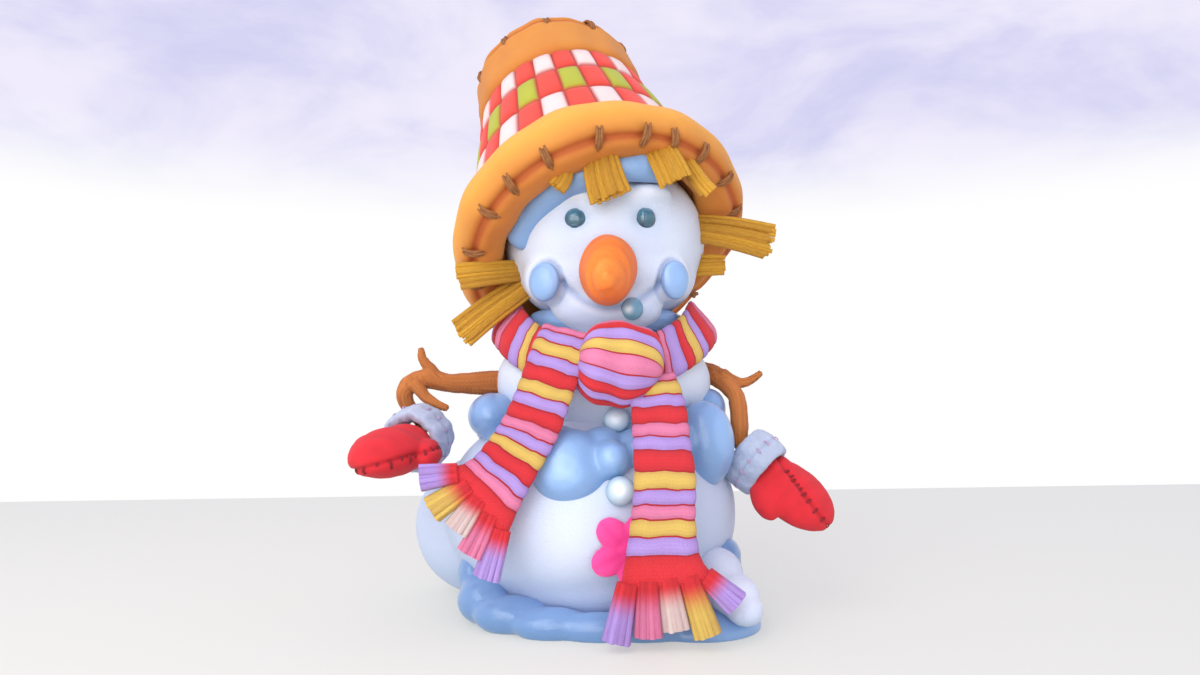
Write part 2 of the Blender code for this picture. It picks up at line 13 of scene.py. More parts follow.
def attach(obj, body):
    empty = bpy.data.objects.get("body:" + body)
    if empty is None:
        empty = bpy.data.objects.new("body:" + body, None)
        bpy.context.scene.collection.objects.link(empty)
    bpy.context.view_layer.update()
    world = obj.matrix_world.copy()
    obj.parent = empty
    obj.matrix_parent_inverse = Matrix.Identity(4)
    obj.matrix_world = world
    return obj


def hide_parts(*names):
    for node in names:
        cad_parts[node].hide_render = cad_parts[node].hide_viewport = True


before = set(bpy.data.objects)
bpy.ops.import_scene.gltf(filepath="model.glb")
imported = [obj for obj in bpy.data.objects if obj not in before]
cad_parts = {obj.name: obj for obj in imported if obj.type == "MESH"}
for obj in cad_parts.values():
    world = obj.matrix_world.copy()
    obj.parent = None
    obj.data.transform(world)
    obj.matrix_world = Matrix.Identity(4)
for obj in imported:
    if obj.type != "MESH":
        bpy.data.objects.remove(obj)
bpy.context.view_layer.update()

bl_info = {
    "name": "Melting Snowman",
    "version": (1, 0, 0),
    "blender": (4, 5, 0),
    "location": "3D View > Sidebar > Snowman",
    "description": "Builds the looks of a melting snowman around its solids",
    "category": "Add Mesh",
}

GOLDEN_ANGLE = math.pi * (3.0 - math.sqrt(5.0))
SNOW_AXIS = np.array((0.008, 0.003))        # the upright line through the scarf's loop


def linear(code):
    """A six-digit colour code as linear red, green and blue."""
    parts = [int(code[k:k + 2], 16) / 255.0 for k in (0, 2, 4)]
    return tuple(c / 12.92 if c <= 0.04045 else ((c + 0.055) / 1.055) ** 2.4 for c in parts)


def tone(label, code, words):
    return bpy.props.FloatVectorProperty(name=label, description=words, subtype="COLOR", size=3,
                                         min=0.0, max=1.0, default=linear(code))


def length(label, metres, words):
    return bpy.props.FloatProperty(name=label, description=words, default=metres, min=0.0,
                                   subtype="DISTANCE", unit="LENGTH")


class SnowmanColours(bpy.types.PropertyGroup):
    snow_light: tone("Snow", "E6EDF8", "Snow where it faces the light")
    snow_dark: tone("Snow shade", "9FB4D8", "Snow in its hollows")
    slush_light: tone("Slush", "98BDEA", "Wet slush where it shines")
    slush_dark: tone("Slush shade", "6B90BE", "Wet slush in its hollows")
    pebble_light: tone("Pebble", "4B7F97", "Eye pebble, lighter part")
    pebble_dark: tone("Pebble shade", "1F4456", "Eye pebble, darker part")
    ice_light: tone("Ice", "E9F4FA", "Ice button, lighter part")
    ice_dark: tone("Ice shade", "6C9DB8", "Ice button, darker part")
    carrot_light: tone("Carrot", "F98F38", "Carrot near its tip")
    carrot_dark: tone("Carrot shade", "EE5C12", "Carrot near its root")
    petal_light: tone("Petal", "FF4A9C", "Petal at its rim")
    petal_dark: tone("Petal shade", "E0207C", "Petal near the middle")
    padding_light: tone("Padding", "FAB648", "Padded roll where it bulges")
    padding_dark: tone("Padding shade", "B85A1E", "Padded roll in its folds and underneath")
    lace_light: tone("Lace", "A8713F", "Lacing, worn strands")
    lace_dark: tone("Lace shade", "7C4A23", "Lacing, in its grooves")
    check_red: tone("Red check", "F5452E", "Red checks of the crown")
    check_pale: tone("Pale check", "F5DED6", "Pale checks of the crown")
    check_lime: tone("Lime check", "B7BC24", "Lime checks of the crown")
    straw_light: tone("Straw", "EDB233", "Straw, bleached")
    straw_dark: tone("Straw shade", "94560F", "Straw in its grooves")
    red: tone("Red yarn", "EE2F38", "Red stripes and the tassels' roots")
    line: tone("Line yarn", "D02730", "Thin lines between the stripes")
    pink: tone("Pink yarn", "F88DB4", "Pink stripes and tassels")
    lavender: tone("Lavender yarn", "C4A5EE", "Lavender stripes and tassels")
    yellow: tone("Yellow yarn", "F3CE66", "Yellow stripes and tassels")
    cream: tone("Cream yarn", "F3DCD2", "Cream tassels")
    # The twig's light tone stands for worn bark on the ridges and, as painted light, for the bark's upper side.
    twig_light: tone("Twig", "F0954A", "Bark where it is worn")
    twig_dark: tone("Twig shade", "AE5A24", "Bark in its grooves")
    felt_light: tone("Mitten", "EA2833", "Red felt where it bulges")
    felt_dark: tone("Mitten shade", "A8161F", "Red felt along the seam")
    thread_light: tone("Blanket stitch", "A3202B", "Dark red thread")
    thread_dark: tone("Blanket stitch shade", "741522", "Dark red thread in shade")
    mauve_light: tone("Cuff stitch", "D3B4D2", "Mauve thread on the cuffs")
    mauve_dark: tone("Cuff stitch shade", "B296BC", "Mauve thread in shade")
    fleece_light: tone("Fleece", "CAD5E9", "Fleece cuffs in the light")
    fleece_dark: tone("Fleece shade", "90A3C7", "Fleece cuffs in their folds")


class SnowmanSizes(bpy.types.PropertyGroup):
    snow_voxel: length("Snow detail", 0.0055, "Mesh size of the snow")
    slush_voxel: length("Slush detail", 0.0045, "Mesh size of the slush and small lumps")
    brim_radius: length("Brim radius", 0.295, "The brim's outer radius")
    crown_foot: length("Crown foot", 0.262, "The crown's radius at the brim")
    crown_top: length("Crown top", 0.184, "The crown's radius under the top roll")
    roll_radius: length("Top roll radius", 0.190, "The top roll's outer radius")
    check_puff: length("Check puff", 0.008, "How far each check bulges")
    seam_depth: length("Seam depth", 0.008, "How deep the rolls' seams are")
    stitch_length: length("Lacing stitch", 0.040, "Length of a lacing stitch")
    knit_puff: length("Stripe puff", 0.003, "How far each stripe of the scarf bulges")
    scarf_thick: length("Scarf thickness", 0.013, "Thickness of the knit")
    felt_puff: length("Felt seam", 0.004, "Depth of the mittens' seam")


def tones():
    return bpy.context.scene.snowman_colours


def sizes():
    return bpy.context.scene.snowman_sizes


def put(tree, kind, inputs=None, **settings):
    """Add a node, with its settings and what goes into its inputs."""
    made = tree.nodes.new(kind)
    for key, value in settings.items():
        setattr(made, key, value)
    for key, value in (inputs or {}).items():
        if isinstance(value, bpy.types.NodeSocket):
            tree.links.new(value, made.inputs[key])
        else:
            made.inputs[key].default_value = value
    return made


def sums(tree, operation, *values):
    """The result of one Math node."""
    return put(tree, "ShaderNodeMath", dict(enumerate(values)), operation=operation).outputs[0]


def blended(tree, share, first, second, mode="MIX"):
    """The colour between two colours."""
    return put(tree, "ShaderNodeMix", {0: share, 6: first, 7: second},
               data_type="RGBA", blend_type=mode).outputs[2]


def group(name, kind, takes, gives):
    """A new node group with its input and output nodes."""
    tree = bpy.data.node_groups.new(name, kind)
    for label, socket, default in takes:
        made = tree.interface.new_socket(label, in_out="INPUT", socket_type=f"NodeSocket{socket}")
        if default is not None:
            made.default_value = default
    for label, socket in gives:
        tree.interface.new_socket(label, in_out="OUTPUT", socket_type=f"NodeSocket{socket}")
    return tree, tree.nodes.new("NodeGroupInput").outputs, tree.nodes.new("NodeGroupOutput").inputs


def painted_group():
    """Colour between a light and a dark tone, with soft brushed patches."""
    found = bpy.data.node_groups.get("Painted Colour")
    if found:
        return found
    tree, given, result = group("Painted Colour", "ShaderNodeTree", [
        ("Light", "Color", (1, 1, 1, 1)), ("Dark", "Color", (0, 0, 0, 1)), ("Mask", "Float", 0.5),
        ("Vector", "Vector", None), ("Scale", "Float", 20.0), ("Spread", "Float", 0.3)],
        [("Colour", "Color")])
    patches = put(tree, "ShaderNodeTexNoise",
                  {"Vector": given["Vector"], "Scale": given["Scale"], "Detail": 4.0}).outputs["Fac"]
    shift = sums(tree, "MULTIPLY", sums(tree, "SUBTRACT", patches, 0.5), given["Spread"])
    share = put(tree, "ShaderNodeMapRange", {"Value": sums(tree, "ADD", given["Mask"], shift)},
                clamp=True).outputs[0]
    tree.links.new(blended(tree, share, given["Light"], given["Dark"]), result["Colour"])
    return tree


def relief_group():
    """Height of a fine grain."""
    found = bpy.data.node_groups.get("Fine Relief")
    if found:
        return found
    tree, given, result = group("Fine Relief", "ShaderNodeTree", [
        ("Vector", "Vector", None), ("Scale", "Float", 200.0), ("Roughness", "Float", 0.6)],
        [("Height", "Float")])
    grain = put(tree, "ShaderNodeTexNoise", {"Vector": given["Vector"], "Scale": given["Scale"],
                                             "Detail": 5.0, "Roughness": given["Roughness"]})
    tree.links.new(grain.outputs["Fac"], result["Height"])
    return tree


def knit_group():
    """Height of knitted stitches: rows of small slanted loops, on a map in metres."""
    found = bpy.data.node_groups.get("Knit")
    if found:
        return found
    tree, given, result = group("Knit", "ShaderNodeTree", [
        ("Vector", "Vector", None), ("Stitch", "Float", 0.006)], [("Height", "Float")])
    parts = put(tree, "ShaderNodeSeparateXYZ", {0: given["Vector"]}).outputs
    along = sums(tree, "DIVIDE", parts[0], given["Stitch"])
    over = sums(tree, "DIVIDE", parts[1], given["Stitch"])
    side = sums(tree, "ABSOLUTE", sums(tree, "SUBTRACT", sums(tree, "FRACT", over), 0.5))
    slant = sums(tree, "FRACT", sums(tree, "ADD", along, sums(tree, "MULTIPLY", side, 1.4)))
    loop = sums(tree, "SINE", sums(tree, "MULTIPLY", slant, math.pi))
    edge = sums(tree, "SINE", sums(tree, "MULTIPLY", side, 2.0 * math.pi))
    tree.links.new(sums(tree, "MULTIPLY", loop, edge), result["Height"])
    return tree


def checks_group():
    """Woven checks on a map whose whole numbers are the checks' borders."""
    found = bpy.data.node_groups.get("Woven Checks")
    if found:
        return found
    tree, given, result = group("Woven Checks", "ShaderNodeTree", [
        ("Vector", "Vector", None), ("Red", "Color", (1, 0, 0, 1)), ("Pale", "Color", (1, 1, 1, 1)),
        ("Lime", "Color", (0.5, 0.6, 0, 1))], [("Colour", "Color"), ("Gap", "Float")])
    parts = put(tree, "ShaderNodeSeparateXYZ", {0: given["Vector"]}).outputs
    column, row = (sums(tree, "FLOOR", parts[k]) for k in (0, 1))
    odd_row = sums(tree, "PINGPONG", row, 1.0)
    odd_check = sums(tree, "PINGPONG", sums(tree, "ADD", column, row), 1.0)
    light = blended(tree, odd_row, given["Pale"], given["Lime"])
    tree.links.new(blended(tree, odd_check, light, given["Red"]), result["Colour"])
    rims = []
    for k in (0, 1):
        across = sums(tree, "SUBTRACT", sums(tree, "FRACT", parts[k]), 0.5)
        rims.append(sums(tree, "ABSOLUTE", across))
    rim = sums(tree, "MAXIMUM", *rims)
    gap = put(tree, "ShaderNodeMapRange", {"Value": rim, "From Min": 0.40, "From Max": 0.50}, clamp=True)
    tree.links.new(gap.outputs[0], result["Gap"])
    return tree


def finish(name, light, dark, vector="", scale=20.0, spread=0.3, relief=200.0, bump=0.0006,
           colour=None, height=None, **settings):
    """A material: painted colour between two tones, fine relief, and the shader's own settings."""
    made = bpy.data.materials.new(name)
    made.use_nodes = True
    tree = made.node_tree
    tree.nodes.clear()
    if vector:
        place = put(tree, "ShaderNodeAttribute", attribute_name=vector).outputs["Vector"]
    else:
        place = put(tree, "ShaderNodeTexCoord").outputs["Object"]
    mask = put(tree, "ShaderNodeAttribute", attribute_name="shade").outputs["Fac"]
    light, dark = (value if isinstance(value, bpy.types.NodeSocket) else (*value, 1.0)
                   for value in (light, dark))
    if colour:
        light, dark = colour(tree, light, dark)
    shown = put(tree, "ShaderNodeGroup", {"Light": light, "Dark": dark, "Mask": mask, "Vector": place,
                                          "Scale": scale, "Spread": spread}, node_tree=painted_group())
    grain = put(tree, "ShaderNodeGroup", {"Vector": place, "Scale": relief}, node_tree=relief_group())
    lift = height(tree, grain.outputs["Height"]) if height else grain.outputs["Height"]
    rough = put(tree, "ShaderNodeBump", {"Distance": bump, "Strength": 1.0, "Height": lift})
    shader = put(tree, "ShaderNodeBsdfPrincipled", {
        "Base Color": shown.outputs["Colour"], "Normal": rough.outputs["Normal"],
        **{key.replace("_", " ").title().replace("Ior", "IOR"): value for key, value in settings.items()}})
    put(tree, "ShaderNodeOutputMaterial", {"Surface": shader.outputs[0]})
    return made


def once(name, build):
    """The material of that name, built the first time it is asked for."""
    return bpy.data.materials.get(name) or build(name)


def snow_finish():
    t = tones()
    return once("Packed snow", lambda name: finish(
        name, t.snow_light, t.snow_dark, scale=9.0, spread=0.16, relief=260.0, bump=0.0016,
        roughness=0.75, subsurface_weight=0.12, subsurface_radius=(0.02, 0.03, 0.04),
        subsurface_scale=0.5, specular_ior_level=0.3))


def slush_finish():
    t = tones()
    return once("Wet slush", lambda name: finish(
        name, t.slush_light, t.slush_dark, scale=12.0, spread=0.22, relief=90.0, bump=0.0012,
        roughness=0.28, coat_weight=0.35, coat_roughness=0.12))


def lacing_finish():
    t = tones()
    return once("Lacing", lambda name: finish(
        name, t.lace_light, t.lace_dark, scale=160.0, spread=0.9, relief=500.0, bump=0.0006,
        roughness=0.8))


def padding_finish():
    t = tones()
    return once("Padded cloth", lambda name: finish(
        name, t.padding_light, t.padding_dark, scale=14.0, spread=0.22, relief=700.0, bump=0.0007,
        roughness=0.72, sheen_weight=0.05, sheen_roughness=0.5))


def woven_finish():
    t = tones()

    def checks(tree, light, dark):
        spot = put(tree, "ShaderNodeUVMap", uv_map="UVMap").outputs[0]
        cloth = put(tree, "ShaderNodeGroup", {
            "Vector": spot, "Red": (*t.check_red, 1.0), "Pale": (*t.check_pale, 1.0),
            "Lime": (*t.check_lime, 1.0)}, node_tree=checks_group())
        seam = (*[c * 0.80 for c in t.check_red], 1.0)
        bright = blended(tree, cloth.outputs["Gap"], cloth.outputs["Colour"], seam)
        # The darker copy of the checks is their painted shade.
        return bright, blended(tree, 1.0, bright, (0.52, 0.40, 0.42, 1.0), "MULTIPLY")
    return once("Woven checks", lambda name: finish(
        name, t.check_red, t.check_red, colour=checks, scale=30.0, spread=0.25, relief=800.0,
        bump=0.0006, roughness=0.6, sheen_weight=0.1))


def straw_finish():
    t = tones()
    return once("Straw", lambda name: finish(
        name, t.straw_light, t.straw_dark, vector="grain", scale=9.0, spread=1.1, relief=24.0,
        bump=0.0015, roughness=0.6))


def knit_height(tree, grain):
    """Knitted loops over the yarn's own fuzz."""
    spot = put(tree, "ShaderNodeUVMap", uv_map="UVMap").outputs[0]
    loops = put(tree, "ShaderNodeGroup", {"Vector": spot, "Stitch": 0.0055}, node_tree=knit_group())
    return sums(tree, "ADD", loops.outputs["Height"], sums(tree, "MULTIPLY", grain, 0.5))


def knit_finish():
    def stripes(tree, light, dark):
        tint = put(tree, "ShaderNodeAttribute", attribute_name="tint").outputs["Color"]
        # The darker copy of each yarn's colour is its painted shade.
        return tint, blended(tree, 1.0, tint, (0.50, 0.36, 0.46, 1.0), "MULTIPLY")
    white = (1.0, 1.0, 1.0)
    return once("Striped knit", lambda name: finish(
        name, white, white, colour=stripes, height=knit_height, scale=26.0, spread=0.3, relief=900.0,
        bump=0.0012, roughness=0.8, sheen_weight=0.06, sheen_roughness=0.6))


def yarn_finish(shade):
    t = tones()

    def from_red(tree, light, dark):
        along = put(tree, "ShaderNodeAttribute", attribute_name="along").outputs["Fac"]
        share = put(tree, "ShaderNodeMapRange", {"Value": along, "From Min": 0.12, "From Max": 0.62},
                    interpolation_type="SMOOTHSTEP").outputs[0]
        bright = blended(tree, share, (*t.red, 1.0), light)
        return bright, blended(tree, 1.0, bright, (0.55, 0.38, 0.48, 1.0), "MULTIPLY")
    return once(f"Yarn {shade}", lambda name: finish(
        name, getattr(t, shade), t.red, vector="grain", colour=from_red, scale=8.0, spread=0.9,
        relief=40.0, bump=0.0012, roughness=0.85, sheen_weight=0.06))


def twig_finish():
    t = tones()
    return once("Twig bark", lambda name: finish(
        name, t.twig_light, t.twig_dark, vector="grain", scale=2.4, spread=0.75, relief=9.0,
        bump=0.0022, roughness=0.65))


def felt_finish():
    t = tones()
    return once("Red felt", lambda name: finish(
        name, t.felt_light, t.felt_dark, scale=30.0, spread=0.3, relief=900.0, bump=0.001,
        roughness=0.85, sheen_weight=0.05, sheen_roughness=0.5))


def fleece_finish():
    t = tones()
    return once("Fleece", lambda name: finish(
        name, t.fleece_light, t.fleece_dark, scale=40.0, spread=0.35, relief=420.0, bump=0.003,
        roughness=0.95, sheen_weight=0.4, sheen_roughness=0.4))


def ice_finish():
    t = tones()
    return once("Glassy ice", lambda name: finish(
        name, t.ice_light, t.ice_dark, scale=30.0, spread=0.3, relief=60.0, bump=0.0008,
        roughness=0.12, ior=1.31, coat_weight=0.6, coat_roughness=0.05))


def piece(name, mesh, material, slot, *nodes):
    """Add a finished mesh to the snowman and hide the solids it stands for."""
    mesh.name = name
    made = bpy.data.objects.new(name, mesh)
    bpy.context.scene.collection.objects.link(made)
    mesh.materials.clear()
    mesh.materials.append(material)
    mesh.shade_smooth()
    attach(made, "root")
    if nodes:
        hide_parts(*nodes)
    return made


def shaped(mesh, *steps):
    """The mesh after the modifiers given as (kind, settings)."""
    carrier = bpy.data.objects.new("carrier", mesh)
    bpy.context.scene.collection.objects.link(carrier)
    for kind, settings in steps:
        modifier = carrier.modifiers.new(kind, kind)
        for key, value in settings.items():
            setattr(modifier, key, value)
    graph = bpy.context.evaluated_depsgraph_get()
    graph.update()
    made = bpy.data.meshes.new_from_object(carrier.evaluated_get(graph))
    bpy.data.objects.remove(carrier, do_unlink=True)
    return made


def filled(build):
    """A mesh filled by build(bm)."""
    mesh = bpy.data.meshes.new("form")
    bm = bmesh.new()
    build(bm)
    bm.to_mesh(mesh)
    bm.free()
    return mesh


def facing_out(mesh):
    """Merge doubled corners and turn every face out."""
    bm = bmesh.new()
    bm.from_mesh(mesh)
    bmesh.ops.remove_doubles(bm, verts=bm.verts, dist=1e-6)
    bmesh.ops.recalc_face_normals(bm, faces=bm.faces)
    bm.to_mesh(mesh)
    bm.free()
    return mesh


def places(mesh):
    found = np.empty(len(mesh.vertices) * 3)
    mesh.vertices.foreach_get("co", found)
    return found.reshape(-1, 3)


def directions(mesh):
    found = np.empty(len(mesh.vertices) * 3)
    mesh.vertices.foreach_get("normal", found)
    return found.reshape(-1, 3)


def move_to(mesh, points):
    mesh.vertices.foreach_set("co", np.asarray(points, float).ravel())
    mesh.update()


def paint(mesh, name, values):
    """Keep one number or one vector for each corner point."""
    values = np.asarray(values, float)
    kind = "FLOAT_VECTOR" if values.ndim == 2 else "FLOAT"
    layer = mesh.attributes.get(name) or mesh.attributes.new(name, kind, "POINT")
    layer.data.foreach_set("vector" if values.ndim == 2 else "value", values.ravel())


def glow(points, centre, radius):
    """1 at the centre, fading out over the radius."""
    return np.exp(-(((points - np.array(centre)) / radius) ** 2).sum(-1))


def unit(vectors):
    return vectors / np.linalg.norm(vectors, axis=-1, keepdims=True)


def uneven(points, scale, seed=0.0):
    """Soft random numbers from -1 to 1 at the points."""
    shift = Vector((seed, seed * 0.7, seed * 0.3))
    flat = [noise.noise(Vector(p) * scale + shift) for p in points.reshape(-1, 3)]
    return np.array(flat).reshape(points.shape[:-1])


def smooth_line(points, closed=False, fine=12):
    """A smooth curve through the points."""
    points = np.array(points, float)
    count = len(points)
    knots = np.arange(0, (count if closed else count - 1) * fine) / fine
    if not closed:
        knots = np.append(knots, count - 1)
    low = np.floor(knots).astype(int)
    part = (knots - low)[:, None]

    def pick(step):
        return points[(low + step) % count if closed else np.clip(low + step, 0, count - 1)]
    before, here, after, beyond = (pick(step) for step in (-1, 0, 1, 2))
    return 0.5 * (2 * here + (after - before) * part
                  + (2 * before - 5 * here + 4 * after - beyond) * part ** 2
                  + (3 * here - before - 3 * after + beyond) * part ** 3)


def grid(points, wrap_rows, wrap_sides, across=None, along=None):
    """A mesh over rows and sides of points, mapped by its distances along and across."""
    rows, sides = points.shape[:2]
    faces, corners = [], []
    last_row = rows if wrap_rows else rows - 1
    last_side = sides if wrap_sides else sides - 1
    for i in range(last_row):
        for j in range(last_side):
            after, beside = (i + 1) % rows, (j + 1) % sides
            faces.append((i * sides + j, after * sides + j, after * sides + beside, i * sides + beside))
            corners += [(i, j), (i + 1, j), (i + 1, j + 1), (i, j + 1)]
    mesh = bpy.data.meshes.new("form")
    mesh.from_pydata(points.reshape(-1, 3).tolist(), [], faces)
    along = np.arange(rows + 1) / last_row if along is None else along
    across = np.arange(sides + 1) / last_side if across is None else across
    spots = np.array([(along[i], across[j]) for i, j in corners])
    mesh.uv_layers.new(name="UVMap").data.foreach_set("uv", spots.ravel())
    return mesh


def ellipsoid(bm, centre, size, turn=(0, 0, 0)):
    matrix = Matrix.Translation(Vector(centre))
    for angle, axis in zip(turn, "XYZ"):
        matrix = matrix @ Matrix.Rotation(math.radians(angle), 4, axis)
    matrix = matrix @ Matrix.Diagonal((*size, 1.0))
    bmesh.ops.create_uvsphere(bm, u_segments=48, v_segments=32, radius=1.0, matrix=matrix)


def lumps_mesh(lumps):
    def build(bm):
        for lump in lumps:
            ellipsoid(bm, *lump)
    return filled(build)


def melted(lumps, voxel, soften, dents=()):
    """Lumps melted into one soft body. soften is how far its creases are rounded, in metres."""
    melt = ("REMESH", {"mode": "VOXEL", "voxel_size": voxel})
    steps = [melt]
    if dents:
        tool = bpy.data.objects.new("dents", lumps_mesh(dents))
        bpy.context.scene.collection.objects.link(tool)
        steps += [("BOOLEAN", {"operation": "DIFFERENCE", "object": tool}), melt]
    rounds = max(1, round((soften / voxel) ** 2))
    mesh = shaped(lumps_mesh(lumps), *steps, ("SMOOTH", {"factor": 0.5, "iterations": rounds}))
    if dents:
        bpy.data.objects.remove(tool, do_unlink=True)
    return mesh


def stand(mesh):
    """Flatten whatever is under the floor into a flat base."""
    points = places(mesh)
    points[:, 2] = np.maximum(points[:, 2], 0.0)
    move_to(mesh, points)
    return mesh


def sky_shade(mesh, middle=0.42, slope=0.24):
    """Darker below and lighter above."""
    return middle - slope * directions(mesh)[:, 2]


def aim(origin, direction, side=(1, 0, 0)):
    """A frame at origin with Z along direction and X as near to side as it can be."""
    z = Vector(direction).normalized()
    x = Vector(side) - z * Vector(side).dot(z)
    x.normalize()
    place = Matrix((x, z.cross(x), z)).transposed().to_4x4()
    place.translation = Vector(origin)
    return place


def moved(points, matrix):
    """Points taken through a matrix."""
    m = np.array(matrix)
    return points @ m[:3, :3].T + m[:3, 3]


def turned_mesh(profile, matrix, around=64, squash=1.0, wave=None):
    """A smooth profile of (radius, height) turned about Z, then placed. wave shifts the radius."""
    line = smooth_line(profile, fine=6)
    angle = np.linspace(0, 2 * math.pi, around, endpoint=False)
    radius, height = np.meshgrid(line[:, 0], angle, indexing="ij")[0], line[:, 1][:, None] + 0 * angle
    radius = np.maximum(radius, 0.0)
    turn = np.broadcast_to(angle, radius.shape)
    if wave is not None:
        radius = radius + wave(radius, height, turn)
    flat = np.stack([radius * np.cos(turn), radius * np.sin(turn) * squash, height], -1)
    mesh = grid(moved(flat, matrix), False, True)
    return facing_out(mesh)


def stitch_tree():
    """Geometry nodes: a short arched stitch of three strands on every point."""
    found = bpy.data.node_groups.get("Stitches")
    if found:
        return found
    tree, given, result = group("Stitches", "GeometryNodeTree", [
        ("Geometry", "Geometry", None), ("Length", "Float", 0.04), ("Rise", "Float", 0.006),
        ("Strand", "Float", 0.002), ("Turn", "Float", 0.2), ("Seed", "Int", 1),
        ("Material", "Material", None)], [("Geometry", "Geometry")])
    half = sums(tree, "MULTIPLY", given["Length"], 0.5)
    sink = sums(tree, "MULTIPLY", given["Rise"], -0.9)
    ends = [put(tree, "ShaderNodeCombineXYZ", {0: x, 2: z}).outputs[0] for x, z in (
        (sums(tree, "MULTIPLY", half, -1.0), sink), (0.0, sums(tree, "MULTIPLY", given["Rise"], 2.6)),
        (half, sink))]
    arc = put(tree, "GeometryNodeCurveQuadraticBezier",
              {"Resolution": 9, "Start": ends[0], "Middle": ends[1], "End": ends[2]}).outputs[0]
    way = put(tree, "GeometryNodeSplineParameter").outputs["Factor"]
    taper = sums(tree, "ADD", 0.62, sums(tree, "MULTIPLY", 0.38, sums(
        tree, "SINE", sums(tree, "MULTIPLY", way, math.pi))))
    rim = put(tree, "GeometryNodeCurvePrimitiveCircle", {"Resolution": 7, "Radius": given["Strand"]})
    strand = put(tree, "GeometryNodeCurveToMesh", {"Curve": arc, "Profile Curve": rim.outputs[0],
                                                   "Scale": taper, "Fill Caps": True}).outputs[0]
    bundle = put(tree, "GeometryNodeJoinGeometry")
    for side, slip in ((-1.35, 0.8), (0.0, -0.6), (1.35, 0.5)):
        shift = put(tree, "ShaderNodeCombineXYZ", {
            0: sums(tree, "MULTIPLY", given["Strand"], slip),
            1: sums(tree, "MULTIPLY", given["Strand"], side)}).outputs[0]
        copy = put(tree, "GeometryNodeTransform", {"Geometry": strand, "Translation": shift})
        tree.links.new(copy.outputs[0], bundle.inputs[0])
    points = put(tree, "GeometryNodeMeshToPoints", {"Mesh": given["Geometry"]}).outputs[0]
    spin = None
    for label, axis, pivot in (("across", "X", "AUTO"), ("out", "Z", "X")):
        wanted = put(tree, "GeometryNodeInputNamedAttribute", {"Name": label},
                     data_type="FLOAT_VECTOR").outputs[0]
        sockets = {"Vector": wanted} if spin is None else {"Vector": wanted, "Rotation": spin}
        spin = put(tree, "FunctionNodeAlignRotationToVector", sockets, axis=axis, pivot_axis=pivot).outputs[0]
    chance = put(tree, "FunctionNodeRandomValue", {2: sums(tree, "MULTIPLY", given["Turn"], -1.0),
                                                   3: given["Turn"], "Seed": given["Seed"]},
                 data_type="FLOAT").outputs[1]
    lean = put(tree, "FunctionNodeAxisAngleToRotation", {"Axis": (0, 0, 1), "Angle": chance}).outputs[0]
    spin = put(tree, "FunctionNodeRotateRotation", {"Rotation": spin, "Rotate By": lean},
               rotation_space="LOCAL").outputs[0]
    laid = put(tree, "GeometryNodeInstanceOnPoints", {"Points": points, "Instance": bundle.outputs[0],
                                                      "Rotation": spin}).outputs[0]
    real = put(tree, "GeometryNodeRealizeInstances", {"Geometry": laid}).outputs[0]
    dyed = put(tree, "GeometryNodeSetMaterial", {"Geometry": real, "Material": given["Material"]})
    tree.links.new(dyed.outputs[0], result["Geometry"])
    return tree


